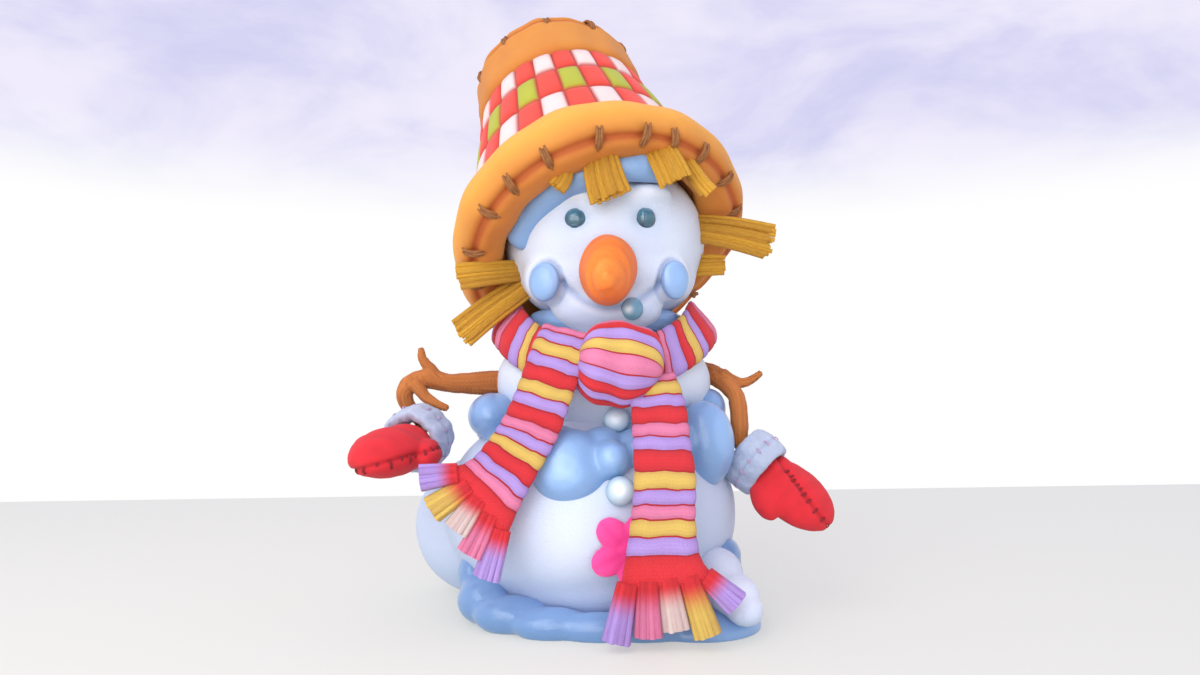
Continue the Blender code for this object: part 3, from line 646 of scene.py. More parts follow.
def strands_tree():
    """Geometry nodes: a bundle of strands along Z that spreads from its root to its tip."""
    found = bpy.data.node_groups.get("Strands")
    if found:
        return found
    tree, given, result = group("Strands", "GeometryNodeTree", [
        ("Geometry", "Geometry", None), ("Count", "Int", 20), ("Length", "Float", 0.07),
        ("Root", "Vector", (0.008, 0.008, 0.0)), ("Tip", "Vector", (0.013, 0.013, 0.0)),
        ("Strand", "Float", 0.002), ("Ragged", "Float", 0.1), ("Seed", "Int", 1),
        ("Material", "Material", None)], [("Geometry", "Geometry")])
    index = put(tree, "GeometryNodeInputIndex").outputs[0]
    angle = sums(tree, "MULTIPLY", index, GOLDEN_ANGLE)
    reach = sums(tree, "SQRT", sums(tree, "DIVIDE", sums(tree, "ADD", index, 0.5), given["Count"]))
    spot = put(tree, "ShaderNodeCombineXYZ", {
        0: sums(tree, "MULTIPLY", reach, sums(tree, "COSINE", angle)),
        1: sums(tree, "MULTIPLY", reach, sums(tree, "SINE", angle))}).outputs[0]
    points = put(tree, "GeometryNodePoints", {"Count": given["Count"]}).outputs[0]
    kept = put(tree, "GeometryNodeStoreNamedAttribute",
               {"Geometry": points, "Name": "spot", "Value": spot},
               data_type="FLOAT_VECTOR", domain="POINT").outputs[0]
    chance = put(tree, "FunctionNodeRandomValue", {"Seed": given["Seed"]}, data_type="FLOAT").outputs[1]
    kept = put(tree, "GeometryNodeStoreNamedAttribute",
               {"Geometry": kept, "Name": "chance", "Value": chance},
               data_type="FLOAT", domain="POINT").outputs[0]
    line = put(tree, "GeometryNodeCurvePrimitiveLine", {"End": (0.0, 0.0, 1.0)}).outputs[0]
    line = put(tree, "GeometryNodeResampleCurve", {"Curve": line, "Count": 9}).outputs[0]
    laid = put(tree, "GeometryNodeInstanceOnPoints", {"Points": kept, "Instance": line}).outputs[0]
    real = put(tree, "GeometryNodeRealizeInstances", {"Geometry": laid}).outputs[0]
    way = put(tree, "GeometryNodeSplineParameter").outputs["Factor"]
    spot = put(tree, "GeometryNodeInputNamedAttribute", {"Name": "spot"}, data_type="FLOAT_VECTOR").outputs[0]
    luck = put(tree, "GeometryNodeInputNamedAttribute", {"Name": "chance"}, data_type="FLOAT").outputs[0]
    width = put(tree, "ShaderNodeMix", {0: way, 4: given["Root"], 5: given["Tip"]}, data_type="VECTOR").outputs[1]
    flat = put(tree, "ShaderNodeVectorMath", {0: spot, 1: width}, operation="MULTIPLY").outputs[0]
    tall = sums(tree, "MULTIPLY", given["Length"], sums(
        tree, "SUBTRACT", 1.0, sums(tree, "MULTIPLY", luck, given["Ragged"])))
    rise = put(tree, "ShaderNodeCombineXYZ", {2: sums(tree, "MULTIPLY", way, tall)}).outputs[0]
    place = put(tree, "ShaderNodeVectorMath", {0: flat, 1: rise}, operation="ADD").outputs[0]
    spread = put(tree, "GeometryNodeSetPosition", {"Geometry": real, "Position": place}).outputs[0]
    kept = put(tree, "GeometryNodeStoreNamedAttribute",
               {"Geometry": spread, "Name": "along", "Value": way},
               data_type="FLOAT", domain="POINT").outputs[0]
    rim = put(tree, "GeometryNodeCurvePrimitiveCircle", {"Resolution": 7, "Radius": given["Strand"]})
    size = sums(tree, "ADD", 0.8, sums(tree, "MULTIPLY", luck, 0.4))
    tube = put(tree, "GeometryNodeCurveToMesh", {"Curve": kept, "Profile Curve": rim.outputs[0],
                                                 "Scale": size, "Fill Caps": True}).outputs[0]
    dyed = put(tree, "GeometryNodeSetMaterial", {"Geometry": tube, "Material": given["Material"]})
    tree.links.new(dyed.outputs[0], result["Geometry"])
    return tree


def grown_by(tree, mesh, **values):
    """The plain mesh that a geometry node tree makes of a mesh."""
    carrier = bpy.data.objects.new("carrier", mesh)
    bpy.context.scene.collection.objects.link(carrier)
    modifier = carrier.modifiers.new("nodes", "NODES")
    modifier.node_group = tree
    sockets = {s.name: s.identifier for s in tree.interface.items_tree if s.in_out == "INPUT"}
    for label, value in values.items():
        modifier[sockets[label]] = value
    graph = bpy.context.evaluated_depsgraph_get()
    graph.update()
    made = bpy.data.meshes.new_from_object(carrier.evaluated_get(graph))
    bpy.data.objects.remove(carrier, do_unlink=True)
    return made


def stitches(name, spots, across, out, material, slot, size, strand, rise, turn=0.2, seed=1):
    """Stitches lying across a seam. spots, across and out are arrays of places and directions."""
    mesh = bpy.data.meshes.new("spots")
    mesh.from_pydata(np.asarray(spots).tolist(), [], [])
    paint(mesh, "across", unit(np.asarray(across)))
    paint(mesh, "out", unit(np.asarray(out)))
    made = grown_by(stitch_tree(), mesh, Length=size, Rise=rise, Strand=strand, Turn=turn, Seed=seed,
                    Material=material)
    paint(made, "shade", 0.45 + 0.4 * uneven(places(made), 220.0, seed))
    return piece(name, made, material, slot)


class Snow(bpy.types.Operator):
    """Packed snow: the lower ball, the chest and the white drip"""
    bl_idname = "snowman.snow"
    bl_label = "Snow balls"

    def execute(self, context):
        s = sizes()
        x, y, z = -0.02, 0.0, 0.185
        ball = stand(melted([
            ((x, y, z), (0.284, 0.284, 0.205)),
            ((x - 0.21, y + 0.06, z - 0.045), (0.145, 0.14, 0.14)),
            ((x + 0.12, y, z - 0.01), (0.165, 0.20, 0.175)),
            ((x + 0.02, y, z - 0.10), (0.245, 0.240, 0.13)),
        ], s.snow_voxel, 0.036))
        points = places(ball)
        move_to(ball, points + directions(ball) * (0.0018 * uneven(points, 14.0)[:, None])
                * (points[:, 2:] > 0.001))
        # Painted shade: darker below, with a painted highlight on the ball's front and painted shade along the floor.
        shade = sky_shade(ball, 0.46, 0.14) - 0.30 * glow(points, (-0.051, -0.27, 0.150), (0.06, 0.2, 0.075))
        shade += 0.25 * glow(points, (-0.02, -0.25, 0.03), (0.4, 0.2, 0.05))
        paint(ball, "shade", shade)
        piece("lower_snow_ball_skin", ball, snow_finish(), "snow", "lower_snow_ball")

        chest = melted([((0.007, 0.0, 0.425), (0.213, 0.197, 0.13))], s.snow_voxel, 0.03)
        points = places(chest)
        # Painted light: the chest is kept lighter than the rest of the snow, against the shade under the scarf.
        paint(chest, "shade", sky_shade(chest, 0.10, 0.15))
        piece("middle_snow_ball_skin", chest, snow_finish(), "snow", "middle_snow_ball")

        drip = stand(melted([
            ((0.205, -0.150, 0.085), (0.050, 0.060, 0.045)),
            ((0.228, -0.205, 0.060), (0.045, 0.060, 0.036)),
            ((0.240, -0.245, 0.045), (0.032, 0.045, 0.026)),
        ], s.slush_voxel, 0.016))
        points = places(drip)
        # Painted shade below and a painted highlight on the drip's front.
        paint(drip, "shade", sky_shade(drip, 0.4, 0.3) - 0.4 * glow(points, (0.245, -0.24, 0.065), 0.04))
        piece("slush_drip_skin", drip, snow_finish(), "snow", "slush_drip")
        return {"FINISHED"}


EYES = [(-0.044, -0.168, 0.719), (0.082, -0.167, 0.720)]
CHEEKS = [((-0.101, -0.160, 0.606), (0.030, 0.016, 0.036), -22), ((0.137, -0.150, 0.611), (0.028, 0.016, 0.036), 26)]
SMILE = [(-0.070, 0.603), (-0.058, 0.592), (-0.021, 0.567), (0.014, 0.557), (0.056, 0.566), (0.100, 0.592),
         (0.112, 0.603)]
CARROT_ROOT = (0.016, -0.150, 0.636)
CARROT_WAY = (-0.008, -0.180, -0.060)


def oval_reach(points, centre, size, turn):
    """Distance from a cheek's middle, where 1 is its edge, seen along its own front."""
    angle = math.radians(turn)
    flat = points - np.array(centre)
    beside = flat[:, 0] * math.cos(angle) + flat[:, 1] * math.sin(angle)
    return np.hypot(beside / size[0], flat[:, 2] / size[2])


class Head(bpy.types.Operator):
    """The snow head, with its brows, cheeks, eye sockets and smile"""
    bl_idname = "snowman.head"
    bl_label = "Head"

    def execute(self, context):
        x, y, z = 0.009, -0.005, 0.705
        head = melted([
            ((x, y, z), (0.200, 0.188, 0.174)),
            ((x + 0.004, y - 0.03, z - 0.070), (0.176, 0.148, 0.100)),
            ((x - 0.055, y - 0.140, z + 0.062), (0.055, 0.042, 0.022)),
            ((x + 0.075, y - 0.140, z + 0.064), (0.050, 0.042, 0.022)),
            ((x + 0.004, y - 0.150, z + 0.010), (0.026, 0.040, 0.060)),
            ((x - 0.102, y - 0.108, z - 0.086), (0.052, 0.048, 0.052)),
            ((x + 0.116, y - 0.102, z - 0.084), (0.046, 0.048, 0.050)),
            ((x + 0.004, y - 0.114, z - 0.146), (0.104, 0.052, 0.048)),
        ], sizes().slush_voxel, 0.024, [
            ((-0.046, -0.212, 0.720), (0.040, 0.040, 0.034)),
            ((0.084, -0.210, 0.721), (0.038, 0.040, 0.034)),
        ])
        points, out = places(head), directions(head)
        front = points[:, 1] < -0.05
        smile = smooth_line(SMILE, fine=16)
        away = np.sqrt(((points[:, None, (0, 2)] - smile[None]) ** 2).sum(-1)).min(1)
        groove = np.exp(-(away / 0.0055) ** 2) * front
        lip = np.exp(-((away - 0.014) / 0.006) ** 2) * front
        corners = sum(glow(points[:, (0, 2)], end, 0.012) for end in (SMILE[0], SMILE[-1])) * front
        reach = np.stack([oval_reach(points, *cheek) for cheek in CHEEKS]).min(0)
        pocket = front / (1.0 + np.exp((reach - 1.08) / 0.05))
        cheek_rim = np.exp(-((reach - 1.12) / 0.09) ** 2) * front
        cheek_lip = np.exp(-((reach - 1.36) / 0.12) ** 2) * front
        depth = -0.0042 * groove + 0.0008 * lip - 0.004 * corners - 0.005 * pocket + 0.0006 * cheek_lip
        move_to(head, points + out * (depth + 0.0008 * uneven(points, 22.0))[:, None])
        # Painted shade in the eye sockets, round the nose's root, under the chin, along the smile and its corners and
        # round the cheeks; painted highlights on the rims above the eyes, the lip along the smile, the cheeks' outer
        # lips and the bulges.
        sockets = sum(glow(points, eye, 0.034) for eye in EYES)
        rims = sum(glow(points, (eye[0], eye[1], eye[2] + 0.040), (0.05, 0.08, 0.012)) for eye in EYES)
        nose = glow(points, CARROT_ROOT, (0.062, 0.08, 0.066))
        chin = glow(points, (0.02, -0.14, 0.545), (0.16, 0.1, 0.04))
        puffs = sum(glow(points, p, 0.045) for p in ((-0.115, -0.15, 0.675), (0.14, -0.14, 0.675), (0.02, -0.18, 0.755)))
        paint(head, "shade", sky_shade(head, 0.24, 0.14) + 0.34 * sockets - 0.22 * rims + 0.32 * nose
              + 0.45 * groove + 0.2 * corners + 0.30 * chin + 0.30 * cheek_rim - 0.06 * cheek_lip - 0.08 * puffs
              - 0.08 * lip)
        piece("snow_head_skin", head, snow_finish(), "snow", "snow_head")
        return {"FINISHED"}


class Face(bpy.types.Operator):
    """Pebble eyes, blue cheeks, the small lump at the mouth and the carrot nose"""
    bl_idname = "snowman.face"
    bl_label = "Face"

    def execute(self, context):
        t = tones()
        pebble = once("Glassy pebble", lambda name: finish(
            name, t.pebble_light, t.pebble_dark, scale=70.0, spread=0.6, relief=60.0, bump=0.0006,
            roughness=0.1, coat_weight=1.0, coat_roughness=0.04))
        for side, eye, size in (("left", EYES[0], (0.0215, 0.019, 0.0215)), ("right", EYES[1], (0.0195, 0.018, 0.0215))):
            mesh = filled(lambda bm: bmesh.ops.create_icosphere(
                bm, subdivisions=5, radius=1.0, matrix=Matrix.Translation(eye) @ Matrix.Diagonal((*size, 1.0))))
            points = places(mesh)
            facets = noise_cells(points, 75.0)
            move_to(mesh, points + directions(mesh) * (0.0008 * facets)[:, None])
            # Painted light: lighter on top, with a painted highlight at the pebble's upper left front.
            paint(mesh, "shade", 0.55 - 0.35 * directions(mesh)[:, 2] - 0.45 * glow(
                points, Vector(eye) + Vector((-0.007, -0.016, 0.009)), 0.008))
            piece(f"{side}_eye_skin", mesh, pebble, "pebble", f"{side}_eye")
        for side, (place, size, turn) in zip(("left", "right"), CHEEKS):
            mesh = lumps_mesh([(place, size, (0, 0, turn))])
            points = places(mesh)
            edge = oval_reach(points, place, size, turn)
            # Painted highlight just inside the upper rim, painted shade at the edge, and a little lighter in the
            # middle.
            above = np.clip(0.5 + (points[:, 2] - place[2]) / 0.03, 0, 1)
            paint(mesh, "shade", 0.30 - 0.55 * np.exp(-((edge - 0.88) / 0.07) ** 2) * above
                  + 0.5 * np.exp(-((edge - 1.0) / 0.06) ** 2) - 0.12 * (1 - edge))
            piece(f"{side}_cheek_skin", mesh, slush_finish(), "slush", f"{side}_cheek")
        place = (0.058, -0.160, 0.557)
        mesh = lumps_mesh([(place, (0.021, 0.016, 0.021), (0, 0, 15))])
        points = places(mesh)
        # Painted highlight on its front, and lighter on top as painted light.
        paint(mesh, "shade", 1.0 - 0.7 * glow(points, (0.051, -0.175, 0.553), 0.008) - 0.1 * directions(mesh)[:, 2])
        piece("mouth_lump_skin", mesh, ice_finish(), "slush", "mouth_lump")
        self.make_carrot(t)
        return {"FINISHED"}

    @staticmethod
    def make_carrot(t):
        """A root with fine uneven rings."""
        carrot = once("Carrot", lambda name: finish(
            name, t.carrot_light, t.carrot_dark, vector="grain", scale=1.6, spread=0.45, relief=4.0,
            bump=0.0016, roughness=0.5, specular_ior_level=0.4))
        profile = [(0.0, -0.030), (0.030, -0.030), (0.046, -0.004), (0.0510, 0.028), (0.0475, 0.062),
                   (0.037, 0.100), (0.023, 0.130), (0.012, 0.148), (0.0, 0.153)]

        def rings(radius, height, turn):
            spots = np.stack([np.cos(turn) * 0.8, np.sin(turn) * 0.8, height * 55.0], -1)
            folds = 0.0009 * np.sin(height * 210.0 + 1.6 * np.sin(turn + 1.0))
            return (0.0030 * uneven(spots, 1.0) + folds - 0.001) * np.minimum(1.0, radius / 0.012)
        matrix = aim(CARROT_ROOT, CARROT_WAY)
        mesh = turned_mesh(profile, matrix, 96, 1.27, rings)
        local = moved(places(mesh), matrix.inverted())
        turn = np.arctan2(local[:, 1], local[:, 0])
        paint(mesh, "grain", np.stack([np.cos(turn), np.sin(turn), local[:, 2] * 60.0], -1))
        # Lighter towards the tip; painted shade and light along the rings' folds, a painted highlight on the front, and
        # lighter on top as painted light.
        tip = np.clip((local[:, 2] - 0.02) / 0.11, 0, 1)
        spot = glow(places(mesh), (-0.008, -0.26, 0.60), (0.026, 0.06, 0.030))
        creases = 0.07 * np.sin(local[:, 2] * 210.0 + 1.6 * np.sin(turn + 1.0))
        paint(mesh, "shade", 0.66 - creases - 0.40 * tip - 0.24 * spot - 0.16 * directions(mesh)[:, 2])
        piece("carrot_nose_skin", mesh, carrot, "carrot", "carrot_nose")


def noise_cells(points, scale):
    """Low flat facets, as a chipped pebble has."""
    return np.array([noise.cell(Vector(p) * scale) for p in points])


class Slush(bpy.types.Operator):
    """Wet blue slush: base, waist, neck and brow"""
    bl_idname = "snowman.slush"
    bl_label = "Slush"

    def execute(self, context):
        voxel = sizes().slush_voxel
        belt = []
        for k in range(18):
            angle = 2 * math.pi * k / 18
            size = 0.038 + 0.006 * math.sin(3 * angle)
            belt.append(((0.205 * math.sin(angle) + 0.002, -0.205 * math.cos(angle),
                          0.340 - 0.026 * math.cos(angle)), (size, size, 0.034)))
        bulges = [
            ((-0.057, -0.228, 0.282), (0.070, 0.050, 0.064)), ((-0.140, -0.190, 0.312), (0.052, 0.048, 0.048)),
            ((0.020, -0.248, 0.292), (0.033, 0.032, 0.034)), ((0.092, -0.218, 0.305), (0.058, 0.042, 0.042)),
            ((0.190, -0.135, 0.312), (0.055, 0.060, 0.080)), ((0.212, -0.030, 0.375), (0.034, 0.055, 0.040)),
            ((-0.203, -0.085, 0.362), (0.046, 0.070, 0.044)), ((-0.130, 0.185, 0.310), (0.075, 0.055, 0.055)),
            ((0.110, 0.195, 0.305), (0.070, 0.050, 0.060)), ((-0.050, -0.243, 0.262), (0.064, 0.044, 0.052)),
        ]
        self.make("waist_slush", belt + bulges, bulges, voxel, 0.022)
        base = [
            ((0.000, 0.025, 0.000), (0.260, 0.250, 0.044)), ((-0.045, -0.110, 0.003), (0.130, 0.138, 0.044)),
            ((0.165, -0.165, 0.004), (0.118, 0.114, 0.045)), ((0.030, 0.130, 0.000), (0.240, 0.160, 0.040)),
            ((0.225, -0.060, 0.020), (0.052, 0.110, 0.050)), ((0.228, -0.080, 0.105), (0.036, 0.055, 0.034)),
            ((0.228, -0.075, 0.065), (0.040, 0.070, 0.050)), ((-0.232, -0.100, 0.072), (0.030, 0.050, 0.045)),
            ((-0.205, -0.160, 0.040), (0.048, 0.045, 0.042)), ((-0.150, -0.205, 0.025), (0.068, 0.040, 0.034)),
            ((-0.080, -0.240, 0.018), (0.068, 0.035, 0.030)), ((0.000, -0.255, 0.016), (0.070, 0.030, 0.028)),
            ((0.070, -0.255, 0.016), (0.070, 0.030, 0.028)),
        ]
        self.make("base_slush", base, base[2:3], voxel, 0.022, floor=True)
        route = [(0.118, -0.170, 0.812), (0.070, -0.186, 0.812), (0.020, -0.190, 0.806), (-0.030, -0.186, 0.798),
                 (-0.075, -0.172, 0.782), (-0.112, -0.152, 0.757), (-0.138, -0.130, 0.728),
                 (-0.148, -0.118, 0.706)]
        band = smooth_line(route, fine=4)
        brow = [(place, (0.036, 0.021, 0.025 + 0.004 * math.sin(k * 0.5)), (0, 8 + 2.25 * k, 0))
                for k, place in enumerate(band)]
        self.make("brow_slush", brow, [(band[-5], (0.034, 0.020, 0.026))], voxel * 0.7, 0.012)

        def ripple(radius, height, turn):
            return 0.003 * np.sin(5 * turn) + 0.002 * np.sin(11 * turn + 1.0)
        profile = [(0.136 + 0.021 * math.cos(a), 0.021 * math.sin(a)) for a in np.linspace(0, 2 * math.pi, 17)]
        neck = turned_mesh(profile, Matrix.Translation((0.010, -0.010, 0.543)), 96, 0.9, ripple)
        paint(neck, "shade", sky_shade(neck, 0.5, 0.2))
        piece("neck_slush_skin", neck, slush_finish(), "slush", "neck_slush")
        return {"FINISHED"}

    @staticmethod
    def make(node, lumps, shining, voxel, soften, floor=False):
        """One slush body, darker below as painted shade, with a painted highlight: lighter in an oval on the upper
        front of each shining lump.
        """
        mesh = melted(lumps, voxel, soften)
        if floor:
            stand(mesh)
        points = places(mesh)
        # Painted shade: darker below, and the base darker along its front.
        shade = sky_shade(mesh, 0.56, 0.14) - 0.45 * floor * np.minimum(directions(mesh)[:, 1], 0.0)
        for centre, size, *_ in shining:
            outward = Vector((centre[0], centre[1], 0.0)).normalized()
            spot = Vector(centre) + outward * (size[1] * 0.9) + Vector((-0.1 * size[0], 0.0, 0.25 * size[2]))
            oval = (((points - np.array(spot)) / (np.array(size) * (0.62, 1.0, 0.62))) ** 2).sum(-1)
            shade -= 0.3 / (1.0 + np.exp((oval - 0.8) * 9.0))
        paint(mesh, "shade", shade)
        piece(f"{node}_skin", mesh, slush_finish(), "slush", node)


class Trinkets(bpy.types.Operator):
    """Ice buttons and the felt flower"""
    bl_idname = "snowman.trinkets"
    bl_label = "Buttons and flower"

    def execute(self, context):
        t = tones()
        buttons = (("upper_button", (0.029, -0.186, 0.357), 0.0235, 0.022),
                   ("lower_button", (0.034, -0.273, 0.243), 0.0250, 0.023))
        for node, place, radius, deep in buttons:
            mesh = lumps_mesh([(place, (radius, deep, radius))])
            points = places(mesh)
            # Painted highlight on the front, painted shade round the rim, and lighter on top.
            shine = glow(points, Vector(place) + Vector((-0.001, -0.021, 0.003)), 0.009)
            ring = np.linalg.norm((points - np.array(place))[:, (0, 2)], axis=1) / radius
            paint(mesh, "shade", 0.35 + 0.35 * np.exp(-((ring - 1.0) / 0.2) ** 2) - 0.6 * shine
                  - 0.18 * directions(mesh)[:, 2])
            piece(f"{node}_skin", mesh, ice_finish(), "ice", node)
        petal = once("Felt petal", lambda name: finish(
            name, t.petal_light, t.petal_dark, scale=60.0, spread=0.3, relief=900.0, bump=0.0008,
            roughness=0.7, sheen_weight=0.2))
        centre = Vector((0.047, -0.286, 0.149))
        lumps = [(centre, (0.020, 0.010, 0.020))]
        creases = []
        for k in range(5):
            angle = math.radians(90 + 72 * k - 27)
            shift = Vector((math.cos(angle), 0.0, math.sin(angle)))
            lumps.append((centre + shift * 0.038, (0.029, 0.008, 0.025), (0, -math.degrees(angle), 0)))
            creases.append(np.array(shift))
        mesh = melted(lumps, 0.0022, 0.006)
        points, out = places(mesh), directions(mesh)
        flat = points - np.array(centre)
        reach = np.linalg.norm(flat[:, (0, 2)], axis=1)
        fold = np.zeros(len(points))
        for crease in creases:
            beside = np.abs(flat[:, 0] * crease[2] - flat[:, 2] * crease[0])
            fold += np.exp(-(beside / 0.006) ** 2) * (flat @ crease > 0.012) * (reach < 0.062) * (out[:, 1] < -0.2)
        cup = np.exp(-((reach - 0.040) / 0.018) ** 2) * (out[:, 1] < -0.2)
        move_to(mesh, points + np.array((0.0, 1.0, 0.0)) * (0.0022 * cup + 0.0012 * fold)[:, None])
        # Darker towards the middle, with painted shade along the petals' creases.
        paint(mesh, "shade", 0.85 - 0.9 * np.clip((reach - 0.008) / 0.05, 0, 1) + 0.25 * fold)
        piece("flower_skin", mesh, petal, "petal", "flower")
        return {"FINISHED"}


HAT_CENTRE = (0.004, -0.022, 0.708)
BRIM_LEAN = (37.0, 20.0)            # degrees away from the viewer, and to the viewer's left
CROWN_LEAN = (31.0, 15.0)
CROWN_LOW, CROWN_HIGH = 0.030, 0.372
CHECK_COLUMNS, CHECK_ROWS = 28, 4
CHECK_TURN = 0.0                    # share of a check by which the columns are turned
# where the lacing's stitches are, in degrees round the hat: the front ones as photographed
BRIM_LACING = [206.5, 226.5, 241, 258, 278.5, 297, 309.5, 324.5, 343, 1.5, 18, 36, 52, 70, 87, 103, 121, 138, 154,
               172, 189]
ROLL_LACING = [242, 274, 306, 338, 11, 43, 77, 110, 142, 176, 209]


def hat_matrix(lean):
    back, side = (math.radians(angle) for angle in lean)
    return (Matrix.Translation(HAT_CENTRE) @ Matrix.Rotation(-side, 4, "Y") @ Matrix.Rotation(-back, 4, "X"))


def padded_ring(node, profile, matrix, seam, turns, under, worn, pinch=0.0):
    """A stuffed roll with a laced seam. seam is its place on the profile, counted in points.

    worn adds painted shade that darkens the whole roll, and pinch is how far the roll is drawn in at its back right.
    """
    s = sizes()
    fine, around = 14, 288
    line = smooth_line(profile, closed=True, fine=fine)
    ways = unit(np.roll(line, -1, 0) - np.roll(line, 1, 0))
    outs = np.stack([ways[:, 1], -ways[:, 0]], -1)
    outs *= np.sign(((line - line.mean(0)) * outs).sum())
    steps = np.linalg.norm(np.diff(np.vstack([line, line[:1]]), axis=0), axis=1)
    arc = np.concatenate([[0.0], np.cumsum(steps)])
    whole, at_seam = arc[-1], arc[round(seam * fine)]
    off = (arc[:-1] - at_seam + whole / 2) % whole - whole / 2
    angle = np.linspace(0, 2 * math.pi, around, endpoint=False)
    turns = np.radians(turns)
    apart = (angle[:, None] - turns + math.pi) % (2 * math.pi) - math.pi
    tight = np.exp(-(apart / 0.05) ** 2).sum(-1)
    groove = np.exp(-(off / 0.0075) ** 2)[:, None]
    lips = np.exp(-((np.abs(off) - 0.018) / 0.011) ** 2)[:, None]
    soft = 0.0022 * np.sin(3 * angle + 1.0) + 0.0016 * np.sin(7 * angle) + 0.0012 * np.sin(16 * angle + 2.0)
    swell = (-groove * s.seam_depth * (0.6 + 0.4 * tight) + lips * (0.003 - 0.0035 * tight ** 2)
             + soft * np.ones_like(groove))

    def drawn_in(at):
        return pinch * np.exp(-((at - 0.85) / 0.45) ** 2)
    radius = line[:, :1] + outs[:, :1] * swell - drawn_in(angle)
    height = line[:, 1:] + outs[:, 1:] * swell
    flat = np.stack([radius * np.cos(angle), radius * np.sin(angle), height], -1)
    mesh = facing_out(grid(moved(flat, matrix), True, True))
    local = moved(places(mesh), matrix.inverted())
    # Painted shade: the whole roll is darker by worn, darker still below the height under, lighter on faces turned up,
    # and darker in the seam's groove.
    shade = worn + 0.55 / (1.0 + np.exp((local[:, 2] - under) / 0.012))
    shade -= 0.12 * np.clip(directions(mesh)[:, 2], 0, 1)
    shade += 0.45 * groove_shade(local, line, groove[:, 0])
    paint(mesh, "shade", shade)
    roll = piece(f"{node}_skin", mesh, padding_finish(), "padding", node)
    index = round(seam * fine)

    def round_ring(vector, inward=0.0):
        reach = vector[0] - inward
        return np.stack([reach * np.cos(turns), reach * np.sin(turns), 0 * turns + vector[1]], -1)
    turn_only = np.array(matrix.to_3x3())
    rim = moved(round_ring(line[index], drawn_in(turns)), matrix)
    stitches(f"{node}_lacing", rim, round_ring(ways[index]) @ turn_only.T,
             round_ring(outs[index]) @ turn_only.T, lacing_finish(), "padding", s.stitch_length, 0.0032, 0.005,
             0.3, len(turns))


def groove_shade(local, line, groove):
    """The seam's darkness at each point, from the nearest point of the profile."""
    flat = np.stack([np.hypot(local[:, 0], local[:, 1]), local[:, 2]], -1)
    nearest = ((flat[:, None] - line[None]) ** 2).sum(-1).argmin(1)
    return groove[nearest]


class Rolls(bpy.types.Operator):
    """The hat's padded brim and top roll, with their lacing"""
    bl_idname = "snowman.rolls"
    bl_label = "Hat rolls"

    def execute(self, context):
        s = sizes()
        outer = s.brim_radius
        brim = [(outer - 0.096, -0.010), (outer - 0.070, -0.042), (outer - 0.026, -0.040), (outer, -0.004),
                (outer - 0.006, 0.038), (outer - 0.036, 0.068), (outer - 0.078, 0.054)]
        # worn is painted shade: a little on the brim (0.22), more on the top roll (0.66).
        padded_ring("hat_brim", brim, hat_matrix(BRIM_LEAN), 1.93, BRIM_LACING, -0.020, 0.22, 0.016)
        lining = [(0.204, 0.012), (0.196, 0.034), (0.180, 0.056), (0.150, 0.078), (0.146, 0.072), (0.174, 0.050),
                  (0.190, 0.028), (0.197, 0.010), (0.200, 0.006)]
        inside = turned_mesh(lining, hat_matrix(BRIM_LEAN), 96)
        # Painted shade: the lining inside the brim is painted all in the padding's shade tone.
        paint(inside, "shade", np.full(len(inside.vertices), 0.85))
        piece("hat_lining", inside, padding_finish(), "padding")
        radius, foot, high = s.roll_radius, CROWN_HIGH, 0.155
        roll = [(radius - 0.065, foot), (radius - 0.004, foot), (radius, foot + 0.050),
                (radius - 0.010, foot + high - 0.040), (radius - 0.034, foot + high),
                (radius - 0.062, foot + high - 0.008), (radius - 0.075, foot + high - 0.050)]
        padded_ring("hat_top_roll", roll, hat_matrix(CROWN_LEAN), 3.0, ROLL_LACING, foot - 0.02, 0.66)
        return {"FINISHED"}


def puffs(columns, rows):
    """How far a check bulges at a place on a map whose whole numbers are its borders."""
    a, b = (np.abs(2.0 * (part - np.floor(part)) - 1.0) for part in (columns, rows))
    return (1.0 - a ** 4) ** 0.6 * (1.0 - b ** 4) ** 0.6


